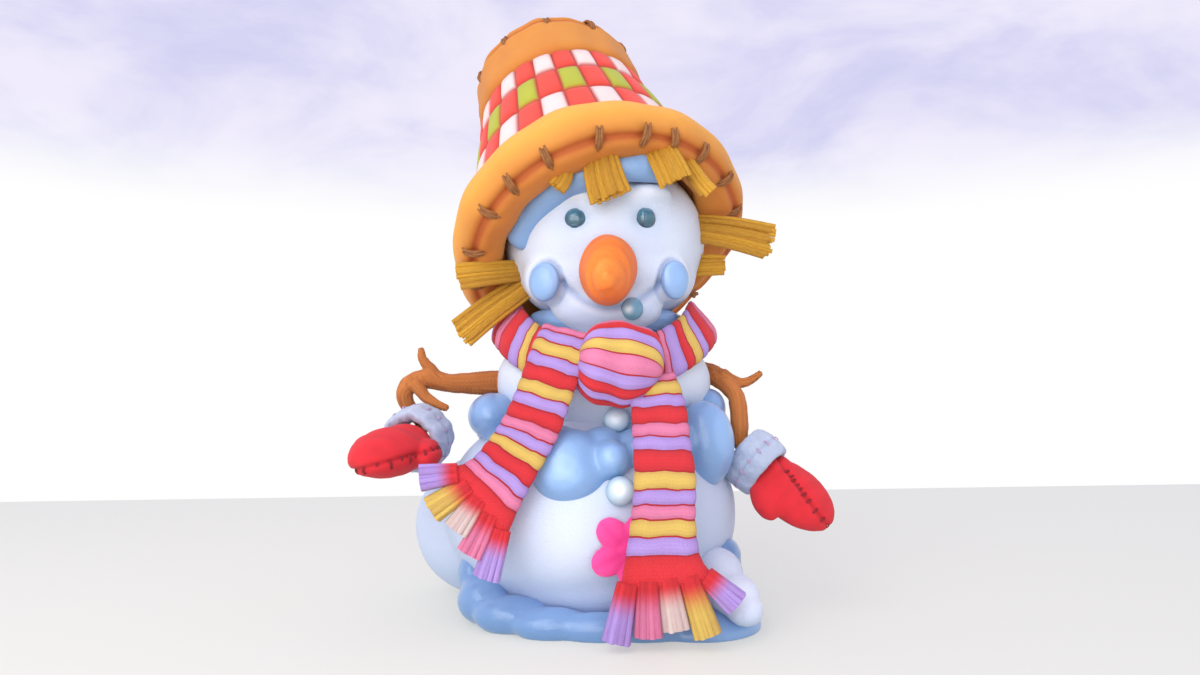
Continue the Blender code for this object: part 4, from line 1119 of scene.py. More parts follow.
class Crown(bpy.types.Operator):
    """The hat's woven crown of puffy checks, and its top"""
    bl_idname = "snowman.crown"
    bl_label = "Hat crown"

    def execute(self, context):
        s = sizes()
        matrix = hat_matrix(CROWN_LEAN)
        fine = 12
        around = CHECK_COLUMNS * fine
        column = np.arange(around) / fine
        row = np.arange(CHECK_ROWS * fine + 1) / fine
        middle = (s.crown_foot + s.crown_top) / 2 - 0.003
        profile = smooth_line([(s.crown_top, CROWN_HIGH), (middle, (CROWN_LOW + CROWN_HIGH) / 2),
                               (s.crown_foot, CROWN_LOW)], fine=len(row))
        share = np.linspace(0, len(profile) - 1, len(row))
        radius = np.interp(share, np.arange(len(profile)), profile[:, 0])[:, None]
        height = np.interp(share, np.arange(len(profile)), profile[:, 1])[:, None]
        puff = puffs(*np.meshgrid(column, row))
        angle = 2 * math.pi * (column + CHECK_TURN) / CHECK_COLUMNS
        outer = radius - 0.003 + s.check_puff * puff
        inner = (radius - 0.012) * np.ones_like(outer)
        radii = np.vstack([outer, inner[::-1][::fine]])
        heights = np.vstack([height, height[::-1][::fine]]) * np.ones_like(radii)
        flat = np.stack([radii * np.cos(angle), radii * np.sin(angle), heights], -1)
        rows = np.concatenate([row, row[::-1][::fine], [0.0]])
        mesh = grid(moved(flat, matrix), True, True, across=np.append(column, CHECK_COLUMNS), along=rows)
        swap_map(mesh)
        facing_out(mesh)
        local = moved(places(mesh), matrix.inverted())
        reach = np.hypot(local[:, 0], local[:, 1])
        base = np.interp(-local[:, 2], -profile[:, 1], profile[:, 0])
        # Painted shade in the gaps between the puffed checks, and near the crown's foot and top.
        ends = np.exp(-((local[:, 2] - CROWN_LOW - 0.04) / 0.03) ** 2) + np.exp(-((local[:, 2] - CROWN_HIGH) / 0.02) ** 2)
        paint(mesh, "shade", 0.75 - 0.65 * np.clip((reach - base + 0.003) / s.check_puff, 0, 1) + 0.3 * ends)
        crown = piece("hat_crown_skin", mesh, woven_finish(), "weave", "hat_crown")
        self.make_top(matrix)
        return {"FINISHED"}

    @staticmethod
    def make_top(matrix):
        """The flat woven top inside the top roll."""
        check, level, rim = 0.042, CROWN_HIGH + 0.085, 0.1115
        reach = np.concatenate([np.linspace(0.0, rim, 60), np.linspace(rim, 0.0, 8)])
        angle = np.linspace(0, 2 * math.pi, 120, endpoint=False)
        radius, turn = np.meshgrid(reach, angle, indexing="ij")
        x, y = radius * np.cos(turn), radius * np.sin(turn)
        top = level + 0.004 + 0.006 * (1.0 - (radius / rim) ** 2) + 0.004 * puffs(x / check + 40, y / check + 40)
        height = np.where(np.arange(len(reach))[:, None] < 60, top, level - 0.004)
        mesh = grid(moved(np.stack([x, y, height], -1), matrix), False, True)
        spots = np.empty(len(mesh.loops), int)
        mesh.loops.foreach_get("vertex_index", spots)
        flat = np.stack([x.ravel() / check + 40, y.ravel() / check + 40], -1)[spots]
        mesh.uv_layers[0].data.foreach_set("uv", flat.ravel())
        facing_out(mesh)
        paint(mesh, "shade", np.full(len(mesh.vertices), 0.35))
        piece("hat_top_skin", mesh, woven_finish(), "weave", "hat_top")


def swap_map(mesh):
    """Exchange the map's two directions."""
    spots = np.empty(len(mesh.loops) * 2)
    mesh.uv_layers[0].data.foreach_get("uv", spots)
    mesh.uv_layers[0].data.foreach_set("uv", spots.reshape(-1, 2)[:, ::-1].ravel())


STRAWS = {
    # near the root, middle and tip of each tuft, with half widths at its root and tip
    "straw_front": ((-0.004, -0.200, 0.842), (0.009, -0.226, 0.782),
                    (0.022, -0.228, 0.742), 0.028, 0.038),
    "straw_front_small": ((-0.053, -0.190, 0.825), (-0.067, -0.218, 0.784),
                          (-0.080, -0.220, 0.765), 0.014, 0.017),
    "straw_right": ((0.106, -0.200, 0.842), (0.120, -0.222, 0.800),
                    (0.132, -0.222, 0.772), 0.028, 0.032),
    "straw_right_small": ((0.160, -0.180, 0.815), (0.180, -0.198, 0.782),
                          (0.198, -0.200, 0.761), 0.012, 0.015),
    "straw_side_left": ((-0.150, -0.070, 0.640), (-0.226, -0.126, 0.624),
                        (-0.266, -0.130, 0.618), 0.020, 0.026),
    "straw_long_left": ((-0.130, -0.060, 0.625), (-0.205, -0.092, 0.566),
                        (-0.268, -0.098, 0.514), 0.024, 0.030),
    "straw_big_right": ((0.145, -0.040, 0.734), (0.250, -0.085, 0.710),
                        (0.333, -0.085, 0.690), 0.026, 0.038),
    "straw_low_right": ((0.140, -0.020, 0.656), (0.212, -0.048, 0.656),
                        (0.245, -0.050, 0.656), 0.024, 0.018),
}
STRAWS_IN_HEAD = ("straw_side_left", "straw_long_left", "straw_big_right", "straw_low_right")


def bent(mesh, path, side):
    """Bend a bundle that stands on Z along a path, and keep its own grain."""
    local = places(mesh)
    line = smooth_line(path, fine=16)
    steps = np.concatenate([[0.0], np.cumsum(np.linalg.norm(np.diff(line, axis=0), axis=1))])
    far = np.clip(local[:, 2] / local[:, 2].max(), 0, 1) * steps[-1]
    centre = np.stack([np.interp(far, steps, line[:, k]) for k in range(3)], -1)
    ways = unit(np.gradient(line, axis=0))
    way = unit(np.stack([np.interp(far, steps, ways[:, k]) for k in range(3)], -1))
    across = unit(np.array(side) - way * (way @ np.array(side))[:, None])
    paint(mesh, "grain", local * (260.0, 260.0, 12.0))
    move_to(mesh, centre + across * local[:, :1] + np.cross(way, across) * local[:, 1:2])


class Straw(bpy.types.Operator):
    """Tufts of straw that stick out under the brim"""
    bl_idname = "snowman.straw"
    bl_label = "Straw"

    def execute(self, context):
        matrix = hat_matrix(BRIM_LEAN)
        seed = bpy.data.meshes.new("seed")
        for k, (node, (root, middle, tip, narrow, wide)) in enumerate(STRAWS.items()):
            root = Vector(root)
            if node not in STRAWS_IN_HEAD:
                local = matrix.inverted() @ root
                flat = Vector((local.x, local.y, 0.0)).normalized() * (sizes().brim_radius - 0.055)
                root = matrix @ flat
            along = (Vector(tip) - root).normalized()
            side = along.cross(Vector((0.0, -1.0, 0.0))).normalized()
            reach = (Vector(middle) - root).length + (Vector(tip) - Vector(middle)).length
            mesh = grown_by(strands_tree(), seed, Count=round(330 * (narrow + wide)), Length=reach,
                            Root=(narrow * 0.92, 0.0045, 0.0), Tip=(wide * 0.94, 0.0050, 0.0),
                            Strand=0.0054, Ragged=0.08, Seed=k + 3, Material=straw_finish())
            bent(mesh, [root, Vector(middle), Vector(tip)], side)
            along = attribute(mesh, "along")
            chance = attribute(mesh, "chance")
            paint(mesh, "shade", 0.28 + 0.45 * (chance - 0.5) + 0.3 * (1.0 - along) ** 3)
            piece(f"{node}_skin", mesh, straw_finish(), "straw", node)
        return {"FINISHED"}


def attribute(mesh, name):
    layer = mesh.attributes[name]
    found = np.empty(len(layer.data))
    layer.data.foreach_get("value", found)
    return found


class Ribbon:
    """A strip's middle line and half widths, read at any distance along it."""

    def __init__(self, stations, closed=False):
        line = smooth_line([(*centre, *across) for centre, across in stations], closed)
        if closed:
            line = np.vstack([line, line[:1]])
        self.line = line
        self.closed = closed
        steps = np.linalg.norm(np.diff(line[:, :3], axis=0), axis=1)
        self.far = np.concatenate([[0.0], np.cumsum(steps)])
        self.length = self.far[-1]

    def read(self, distance):
        distance = np.mod(distance, self.length) if self.closed else distance
        parts = [np.interp(distance, self.far, self.line[:, k]) for k in range(6)]
        found = np.stack(parts, -1)
        return found[..., :3], found[..., 3:]

    def way(self, distance, step=0.004):
        if self.closed:
            return unit(self.read(distance + step)[0] - self.read(distance - step)[0])
        low = np.clip(distance - step, 0, self.length - step)
        return unit(self.read(low + step)[0] - self.read(low)[0])


def stripe_rows(stripes, whole, step=0.0035, border=0.0028):
    """Rows along a striped strip: their distances, their bulge, and each gap's yarn."""
    share = whole / sum(width for _, width in stripes)
    rows, bulge, yarns, start = [0.0], [0.0], [], 0.0
    for yarn, width in stripes:
        wide = width * share
        body = wide - border
        count = max(3, round(body / step))
        for j in range(1, count + 1):
            rows.append(start + body * j / count)
            bulge.append(math.sin(math.pi * j / count) ** 0.5 if j < count else 0.0)
            yarns.append(yarn)
        start += wide
        rows.append(start)
        bulge.append(0.0)
        yarns.append("line")
    return np.array(rows), np.array(bulge), yarns


def dye(mesh, yarns, sides):
    """Give each row of faces the colour of its yarn."""
    t = tones()
    layer = mesh.color_attributes.new("tint", "FLOAT_COLOR", "CORNER")
    rows = np.array([(*getattr(t, yarn), 1.0) for yarn in yarns])
    layer.data.foreach_set("color", np.repeat(rows, sides * 4, axis=0).ravel())


def knitted(name, ribbon, stripes, folds, *nodes):
    """A thick knitted strip whose stripes bulge between thin lines."""
    s = sizes()
    rows, bulge, yarns = stripe_rows(stripes, ribbon.length)
    if ribbon.closed:
        rows, bulge = rows[:-1], bulge[:-1]
    sides = 44
    turn = np.linspace(0, 2 * math.pi, sides, endpoint=False)
    across = np.sign(np.cos(turn)) * np.abs(np.cos(turn)) ** 0.45
    through = np.sign(np.sin(turn)) * np.abs(np.sin(turn)) ** 0.75
    wave = 0.0012 * np.sin(across * 5.0 + rows[:, None] * 60.0) + 0.0008 * np.sin(across * 11.0 + rows[:, None] * 23.0)
    fade = np.ones(len(rows)) if ribbon.closed else np.clip(np.minimum(rows, ribbon.length - rows) / 0.01, 0, 1)
    distance = rows[:, None] + wave * fade[:, None]
    centre, half = ribbon.read(distance)
    way = ribbon.way(distance)
    side = unit(half)
    out = unit(np.cross(way, side))
    radial = np.concatenate([centre[..., :2] - SNOW_AXIS, 0 * centre[..., :1]], -1)
    out *= np.sign((out * radial).sum(-1, keepdims=True))
    thick = s.scarf_thick / 2 * (0.55 + 0.45 * fade[:, None] ** 0.5)
    lift = folds(distance, across)
    swell = s.knit_puff * bulge[:, None] * (0.35 + 0.65 * np.abs(through))
    points = (centre + half * across[:, None] + out * (thick * through + lift)[..., None]
              + (side * (np.cos(turn) * np.abs(np.cos(turn)))[:, None] + out * through[:, None]) * swell[..., None])
    wide = np.linalg.norm(half, axis=-1).mean()
    mesh = grid(points, ribbon.closed, True, across=np.append(across, across[0]) * wide,
                along=np.append(rows, ribbon.length))
    dye(mesh, yarns, sides)
    # Painted shade in the lines between stripes and along the strip's edges; painted light on the stripes' bulges and
    # raised folds.
    shade = 0.42 - 0.30 * bulge[:, None] ** 2 + 0.5 * np.abs(across) ** 6 * np.ones_like(lift) - 14.0 * lift
    paint(mesh, "shade", shade.ravel())
    if not ribbon.closed:
        bm = bmesh.new()
        bm.from_mesh(mesh)
        bmesh.ops.holes_fill(bm, edges=[edge for edge in bm.edges if edge.is_boundary])
        bm.to_mesh(mesh)
        bm.free()
    facing_out(mesh)
    made = piece(name, mesh, knit_finish(), "knit", *nodes)
    return made, (2 * wide, ribbon.length)


# the loop's stripes from the front round by the left, with their widths in millimetres
LOOP_STRIPES = [("lavender", 60), ("pink", 60), ("red", 25), ("yellow", 20), ("lavender", 30), ("red", 40), ("pink", 25),
                ("red", 25), ("lavender", 25), ("red", 40), ("yellow", 25), ("lavender", 30), ("pink", 30), ("red", 40),
                ("yellow", 25), ("lavender", 30), ("red", 40), ("pink", 30), ("yellow", 25), ("red", 40), ("lavender", 30),
                ("pink", 30), ("yellow", 25), ("red", 40), ("lavender", 30), ("pink", 30), ("yellow", 25), ("red", 30),
                ("lavender", 35), ("yellow", 25), ("lavender", 25), ("red", 25), ("pink", 25), ("red", 40),
                ("lavender", 25), ("yellow", 27), ("red", 21), ("lavender", 32), ("pink", 15), ("red", 50), ("yellow", 50)]
LEFT_STRIPES = [("pink", 16), ("lavender", 22), ("yellow", 26), ("lavender", 24), ("red", 28), ("yellow", 26),
                ("lavender", 24), ("red", 26), ("pink", 22), ("lavender", 22), ("yellow", 24), ("red", 26),
                ("lavender", 22), ("pink", 22), ("red", 40)]
RIGHT_STRIPES = [("pink", 16), ("yellow", 22), ("lavender", 20), ("red", 26), ("pink", 22), ("lavender", 22),
                 ("red", 30), ("yellow", 26), ("lavender", 22), ("pink", 20), ("yellow", 24), ("lavender", 26),
                 ("red", 46)]
# from the knot's underside up its front, then down its back
KNOT_STRIPES = [("red", 24), ("lavender", 18), ("red", 18), ("lavender", 20), ("pink", 20), ("yellow", 20),
                ("lavender", 24), ("red", 18), ("pink", 28), ("yellow", 30), ("lavender", 32), ("red", 34),
                ("pink", 32), ("lavender", 30)]
RIGHT_END = [
    ((0.084, -0.240, 0.435), (0.042, 0.0, 0.004)),
    ((0.097, -0.262, 0.385), (0.045, 0.0, 0.002)),
    ((0.101, -0.294, 0.318), (0.047, 0.0, 0.0)),
    ((0.104, -0.312, 0.264), (0.049, 0.0, 0.0)),
    ((0.100, -0.320, 0.198), (0.051, 0.0, 0.0)),
    ((0.100, -0.322, 0.140), (0.060, 0.0, 0.002)),
    ((0.110, -0.322, 0.098), (0.078, 0.0, 0.010)),
]
LEFT_END = [
    ((-0.057, -0.236, 0.514), (0.038, -0.004, -0.009)),
    ((-0.070, -0.252, 0.473), (0.043, -0.004, -0.014)),
    ((-0.097, -0.270, 0.392), (0.044, -0.002, -0.013)),
    ((-0.117, -0.280, 0.343), (0.044, 0.0, -0.017)),
    ((-0.145, -0.290, 0.296), (0.040, 0.0, -0.027)),
    ((-0.170, -0.298, 0.259), (0.041, 0.0, -0.036)),
    ((-0.203, -0.306, 0.222), (0.047, 0.0, -0.058)),
]
# the tassels of each end from left to right: direction and length
LEFT_TASSELS = {
    "lavender_1": ((-0.99, -0.05, -0.13), 0.045), "yellow_1": ((-0.83, -0.05, -0.56), 0.056),
    "cream_1": ((-0.56, 0.0, -0.83), 0.046), "pink_1": ((-0.44, 0.0, -0.90), 0.056),
    "lavender_2": ((-0.28, 0.0, -0.96), 0.065),
}
RIGHT_TASSELS = {
    "lavender_3": ((-0.19, 0.0, -0.98), 0.078), "pink_2": ((0.02, 0.0, -1.0), 0.072),
    "cream_2": ((0.17, 0.0, -0.98), 0.066), "yellow_2": ((0.32, 0.0, -0.95), 0.082),
    "lavender_4": ((0.76, 0.0, -0.65), 0.050),
}
LOOP_STEPS = 14


class Scarf(bpy.types.Operator):
    """The striped scarf: loop, knot, two ends and their tassels"""
    bl_idname = "snowman.scarf"
    bl_label = "Scarf"

    def execute(self, context):
        stations = []
        for k in range(LOOP_STEPS):
            angle = 2 * math.pi * k / LOOP_STEPS
            sine, cosine = math.sin(angle), math.cos(angle)
            behind = max(0.0, -cosine)
            rise = 0.093 * abs(sine) ** 3 - 0.024 * behind
            centre = Vector((0.008 - sine * 0.196, 0.003 - cosine * 0.205, 0.456 + rise))
            inward = 0.20 + 0.50 * sine * sine
            lean = Vector((sine * inward, cosine * inward, 1.0)).normalized()
            stations.append((centre, lean * (0.047 - 0.016 * behind)))

        def loop_folds(distance, across):
            return 0.004 * np.sin(across * 4.0 + distance * 9.0) * np.abs(across) + 0.004 * (1 - across ** 2)

        def end_folds(distance, across):
            gather = np.exp(-distance / 0.07)
            return 0.0028 * np.sin(across * 6.5 + 1.0) * gather + 0.0012 * np.sin(across * 3.0 + distance * 20.0)
        loop, loop_flat = knitted("scarf_loop", Ribbon(stations, True), LOOP_STRIPES, loop_folds, "scarf")
        left, left_flat = knitted("scarf_left_end", Ribbon(LEFT_END), LEFT_STRIPES, end_folds)
        right, right_flat = knitted("scarf_right_end", Ribbon(RIGHT_END), RIGHT_STRIPES, end_folds)
        fringe = self.make_tassels()
        self.make_knot()
        return {"FINISHED"}

    @staticmethod
    def make_knot():
        """A plump knot whose stripes run from side to side."""
        s = sizes()
        rows, bulge, yarns = stripe_rows(KNOT_STRIPES, 2 * math.pi, step=0.09, border=0.035)
        rows, bulge = rows[:-1], bulge[:-1]
        sides = 41
        v = np.linspace(0, 1, sides)
        x = -np.cos(math.pi * v)
        reach = (1.0 - np.abs(x) ** 3.2) ** (1 / 2.4)
        angle = (rows[:, None] - math.pi / 2 + 0.02 * np.sin(x * 5.0 + rows[:, None] * 3.0) * reach
                 - 0.10 * x * np.cos(rows[:, None]))
        pleats = 1.0 + 0.02 * np.sin(x * 8.0 + angle * 2.0)
        swell = 1.0 + s.knit_puff / 0.05 * bulge[:, None] * reach
        y = -np.sign(np.cos(angle)) * np.abs(np.cos(angle)) ** 0.85 * reach * swell * pleats
        z = np.sign(np.sin(angle)) * np.abs(np.sin(angle)) ** 0.85 * reach * swell * pleats
        lean = x * np.ones_like(angle) * (0.074 - 0.010 * np.clip(-z, 0, 1)) - 0.012 * np.clip(-z, 0, 1)
        flat = np.stack([lean, y * 0.046, z * 0.070], -1)
        matrix = Matrix.Translation((0.034, -0.240, 0.452)) @ Matrix.Rotation(math.radians(12), 4, "Y")
        mesh = grid(moved(flat, matrix), True, False, across=x * 0.074, along=np.append(rows, 2 * math.pi) * 0.05)
        dye(mesh, yarns, sides - 1)
        # Painted shade in the lines between stripes, at the knot's sides and in its pleats; lighter on the stripes'
        # bulges.
        paint(mesh, "shade", (0.40 - 0.28 * bulge[:, None] ** 2 + 0.5 * np.abs(x) ** 8 + 4.0 * (1 - pleats)).ravel())
        facing_out(mesh)
        knot = piece("scarf_knot", mesh, knit_finish(), "knit")

    @staticmethod
    def make_tassels():
        seed = bpy.data.meshes.new("seed")
        made = []
        for (centre, across), hung in ((LEFT_END[-1], LEFT_TASSELS), (RIGHT_END[-1], RIGHT_TASSELS)):
            for k, (name, (way, size)) in enumerate(hung.items()):
                root = Vector(centre) + Vector(across) * (0.44 * (k - 2))
                colour = name.split("_")[0]
                way = Vector(way).normalized()
                mesh = grown_by(strands_tree(), seed, Count=18, Length=size + 0.016, Root=(0.0125, 0.0065, 0.0),
                                Tip=(0.0190, 0.0120, 0.0), Strand=0.0056, Ragged=0.02, Seed=len(made) + 20,
                                Material=yarn_finish(colour))
                start = root - way * 0.016 - Vector((0.0, 0.002, 0.0))
                bent(mesh, [start, start + way * (size / 2), start + way * (size + 0.016)], (1, 0, -0.4))
                paint(mesh, "shade", 0.25 + 0.5 * (attribute(mesh, "chance") - 0.5))
                made.append(piece(f"tassel_{name}_skin", mesh, yarn_finish(colour), f"{colour}_yarn",
                                  f"tassel_{name}"))
        return made


LEFT_ARM = [(-0.165, -0.010, 0.424), (-0.225, -0.025, 0.424), (-0.290, -0.050, 0.424), (-0.330, -0.060, 0.432),
            (-0.362, -0.066, 0.424), (-0.375, -0.064, 0.400), (-0.364, -0.054, 0.372), (-0.346, -0.054, 0.350),
            (-0.338, -0.080, 0.332), (-0.344, -0.115, 0.320), (-0.350, -0.150, 0.312)]
LEFT_RADII = [0.027, 0.024, 0.018, 0.019, 0.017, 0.016, 0.014, 0.012, 0.011, 0.010, 0.010]
LEFT_UP = [(-0.310, -0.056, 0.428), (-0.328, -0.058, 0.452), (-0.342, -0.058, 0.470), (-0.346, -0.058, 0.492)]
LEFT_LOW = [(-0.352, -0.078, 0.424), (-0.330, -0.084, 0.398), (-0.308, -0.090, 0.384), (-0.286, -0.092, 0.376)]
RIGHT_ARM = [(0.160, 0.030, 0.444), (0.205, 0.015, 0.447), (0.232, -0.010, 0.437), (0.254, -0.032, 0.416),
             (0.266, -0.048, 0.390), (0.267, -0.062, 0.345), (0.268, -0.072, 0.308), (0.288, -0.084, 0.280),
             (0.316, -0.100, 0.252)]
RIGHT_RADII = [0.023, 0.021, 0.020, 0.018, 0.017, 0.017, 0.014, 0.012, 0.010]
RIGHT_TWIG = [(0.238, -0.022, 0.442), (0.268, -0.024, 0.426), (0.292, -0.024, 0.428), (0.318, -0.024, 0.446)]
TWIG_RADII = [0.014, 0.011, 0.009, 0.006]


class Arms(bpy.types.Operator):
    """The twig arms, each one branch with its side twigs"""
    bl_idname = "snowman.arms"
    bl_label = "Arms"

    def execute(self, context):
        self.make("left", [(LEFT_ARM, LEFT_RADII), (LEFT_UP, TWIG_RADII), (LEFT_LOW, TWIG_RADII)],
                  "left_arm", "left_twig_up", "left_twig_low")
        self.make("right", [(RIGHT_ARM, RIGHT_RADII), (RIGHT_TWIG, TWIG_RADII)], "right_arm", "right_twig")
        return {"FINISHED"}

    @staticmethod
    def make(side, branches, *nodes):
        lines = [smooth_line([(*p, r) for p, r in zip(points, radii)], fine=10) for points, radii in branches]

        def build(bm):
            for line in lines:
                rings = []
                for k, (x, y, z, radius) in enumerate(line):
                    way = line[min(k + 1, len(line) - 1), :3] - line[max(k - 1, 0), :3]
                    matrix = aim((x, y, z), way, (0.2, 1.0, 0.3))
                    rings.append([bm.verts.new(matrix @ Vector((radius * math.cos(a), radius * math.sin(a), 0.0)))
                                  for a in np.linspace(0, 2 * math.pi, 14, endpoint=False)])
                for first, second in zip(rings, rings[1:]):
                    for j in range(14):
                        bm.faces.new((first[j], first[(j + 1) % 14], second[(j + 1) % 14], second[j]))
                bm.faces.new(rings[0][::-1])
                bm.faces.new(rings[-1])
        mesh = shaped(filled(build), ("REMESH", {"mode": "VOXEL", "voxel_size": 0.0022}),
                      ("SMOOTH", {"factor": 0.5, "iterations": 6}))
        points, out = places(mesh), directions(mesh)
        spine = np.vstack(lines)
        nearest = ((points[:, None] - spine[None, :, :3]) ** 2).sum(-1).argmin(1)
        around = points - spine[nearest, :3]
        far = np.concatenate([np.arange(len(line)) * 0.004 for line in lines])[nearest]
        grain = np.concatenate([unit(around + 1e-9) * 1.2, (far * 9.0)[:, None]], 1)[:, (0, 1, 2, 3)]
        grain = grain[:, :3] * (1.0, 1.0, 1.0) + grain[:, 3:] * np.array((0.25, 0.25, 0.25))
        ridges = uneven(grain, 3.2, 5.0)
        move_to(mesh, points + out * (0.0016 * ridges + 0.0012 * uneven(points, 60.0))[:, None])
        paint(mesh, "grain", grain * 3.0)
        root = np.exp(-(np.linalg.norm(points - spine[0, :3], axis=1) / 0.07) ** 2)
        # Lighter on top as painted light, lighter on the bark's ridges and darker in its grooves, and darker towards
        # the root.
        paint(mesh, "shade", 0.42 - 0.22 * out[:, 2] - 0.35 * ridges + 0.4 * root)
        piece(f"{side}_arm_skin", mesh, twig_finish(), "twig", *nodes)


MITTENS = {
    # wrist, direction of the fingers, side of the thumb, scale, and two places the seam is seen at
    "left": ((-0.342, -0.118, 0.318), (-0.30, -0.92, -0.19), (1.0, 0.0, -0.1), 0.98, ((-0.416, -0.200, 0.273), (-0.265, -0.200, 0.314))),
    "right": ((0.300, -0.092, 0.268), (0.70, -0.36, -0.62), (-0.5, -0.5, -0.5), 0.92, ((0.317, -0.200, 0.280), (0.393, -0.200, 0.178))),
}


class Mittens(bpy.types.Operator):
    """Red felt mittens with blanket stitches, and their fleece cuffs"""
    bl_idname = "snowman.mittens"
    bl_label = "Mittens"

    def execute(self, context):
        t, s = tones(), sizes()
        thread = once("Blanket thread", lambda name: finish(
            name, t.thread_light, t.thread_dark, scale=200.0, spread=0.5, relief=900.0, bump=0.0004, roughness=0.8))
        mauve = once("Mauve thread", lambda name: finish(
            name, t.mauve_light, t.mauve_dark, scale=200.0, spread=0.5, relief=900.0, bump=0.0004, roughness=0.8))
        for k, (side, (wrist, fingers, thumb, scale, seam)) in enumerate(MITTENS.items()):
            matrix = aim(wrist, fingers, thumb) @ Matrix.Diagonal((scale, scale, scale, 1.0))
            mesh = melted([((0.0, 0.0, 0.085), (0.062, 0.040, 0.090)), ((0.0, 0.0, 0.035), (0.050, 0.038, 0.050)),
                           ((0.058, 0.0, 0.055), (0.026, 0.024, 0.044), (0, 30, 0))], 0.003, 0.012)
            points, out = places(mesh), directions(mesh)
            eye = Vector(CAMERA_PLACE)
            cut = (Vector(seam[0]) - eye).cross(Vector(seam[1]) - eye)
            across = matrix.to_3x3().transposed() @ cut
            level = cut.dot(eye - matrix.translation) / across.length
            across = np.array(across.normalized())
            off = points @ across - level
            groove = np.exp(-(off / 0.0035) ** 2)
            puff = np.exp(-((np.abs(off) - 0.012) / 0.008) ** 2)
            wrinkle = uneven(points * (1.0, 1.0, 2.2), 26.0, 3.0)
            depth = -s.felt_puff * groove + 0.0015 * puff + 0.0016 * wrinkle
            # Painted light: lighter on top, with painted shade in the seam's groove and lighter on the raised wrinkles.
            shade = 0.30 - 0.20 * (out @ np.array(matrix.inverted().to_3x3() @ Vector((0, 0, 1))) * scale) \
                + 0.30 * groove - 0.20 * wrinkle
            move_to(mesh, points + out * depth[:, None])
            paint(mesh, "shade", shade)
            self.sew(f"{side}_mitten_stitches", mesh, off, across, matrix, thread, k)
            mesh.transform(matrix)
            mitten = piece(f"{side}_mitten_skin", mesh, felt_finish(), "mitten", f"{side}_mitten")
            self.make_cuff(side, matrix, mauve, k)
        return {"FINISHED"}

    @staticmethod
    def sew(name, mesh, off, across, matrix, material, seed):
        """Blanket stitches where the mitten's seam runs round it."""
        points, out = places(mesh), directions(mesh)
        near = np.abs(off - 0.003) < 0.003
        along = np.cross(across, (0.0, 0.0, 1.0))
        flat = points - points[near].mean(0)
        turn = np.arctan2(flat @ along, flat @ np.cross(along, across))
        spots, ways = [], []
        for angle in np.arange(-2.5, 2.51, 0.26):
            gap = np.where(near, np.abs(turn - angle), 9.0)
            found = int(gap.argmin())
            spots.append(points[found])
            ways.append(out[found])
        turn_only = np.array(matrix.to_3x3().normalized())
        stitches(name, moved(np.array(spots), matrix), np.tile(across, (len(spots), 1)) @ turn_only.T,
                 np.array(ways) @ turn_only.T, material, "mitten", 0.016, 0.0010, 0.0026, 0.15, seed + 40)

    @staticmethod
    def make_cuff(side, matrix, material, seed):
        """A thick fleece cuff with a stitched seam round its middle."""
        profile = [(0.042, -0.048), (0.058, -0.046), (0.064, -0.016), (0.058, 0.018), (0.042, 0.014), (0.034, -0.014)]
        line = smooth_line(profile, closed=True, fine=10)
        angle = np.linspace(0, 2 * math.pi, 120, endpoint=False)
        puff = 0.0016 * np.sin(5 * angle) + 0.0010 * np.sin(12 * angle + 1.0)
        radius = line[:, :1] + puff
        flat = np.stack([radius * np.cos(angle), radius * np.sin(angle), line[:, 1:] + 0 * angle], -1)
        mesh = facing_out(grid(flat, True, True))
        points, out = places(mesh), directions(mesh)
        seam = np.exp(-((points[:, 2] + 0.012) / 0.0022) ** 2) * (np.hypot(points[:, 0], points[:, 1]) > 0.05)
        tufts = uneven(points, 130.0, 2.0)
        move_to(mesh, points + out * (0.0012 * tufts - 0.0018 * seam + 0.0016 * uneven(points, 34.0))[:, None])
        mesh.transform(matrix)
        # Painted light: lighter on top and on the raised tufts, with painted shade in the seam.
        paint(mesh, "shade", 0.36 - 0.26 * directions(mesh)[:, 2] - 0.2 * tufts + 0.35 * seam)
        cuff = piece(f"{side}_cuff_skin", mesh, fleece_finish(), "fleece", f"{side}_cuff")
        turns = np.arange(0, 2 * math.pi, 0.42)
        spots = np.stack([0.0645 * np.cos(turns), 0.0645 * np.sin(turns), np.full(len(turns), -0.012)], -1)
        outs = np.stack([np.cos(turns), np.sin(turns), 0 * turns], -1)
        turn_only = np.array(matrix.to_3x3().normalized())
        ways = np.tile((0.0, 0.0, 1.0), (len(turns), 1)) + 0.35 * np.stack([-np.sin(turns), np.cos(turns), 0 * turns], -1)
        stitches(f"{side}_cuff_stitches", moved(spots, matrix), ways @ turn_only.T, outs @ turn_only.T,
                 material, "fleece", 0.012, 0.0008, 0.0020, 0.15, seed + 60)


FLOOR_EDGE = [(-8.0, 0.75), (8.0, 2.73)]        # the floor's far edge, seen from above
CAMERA_PLACE = (0.0, -1.63, 0.402)
CAMERA_PITCH = 94.0
CAMERA_LENS = 24.45


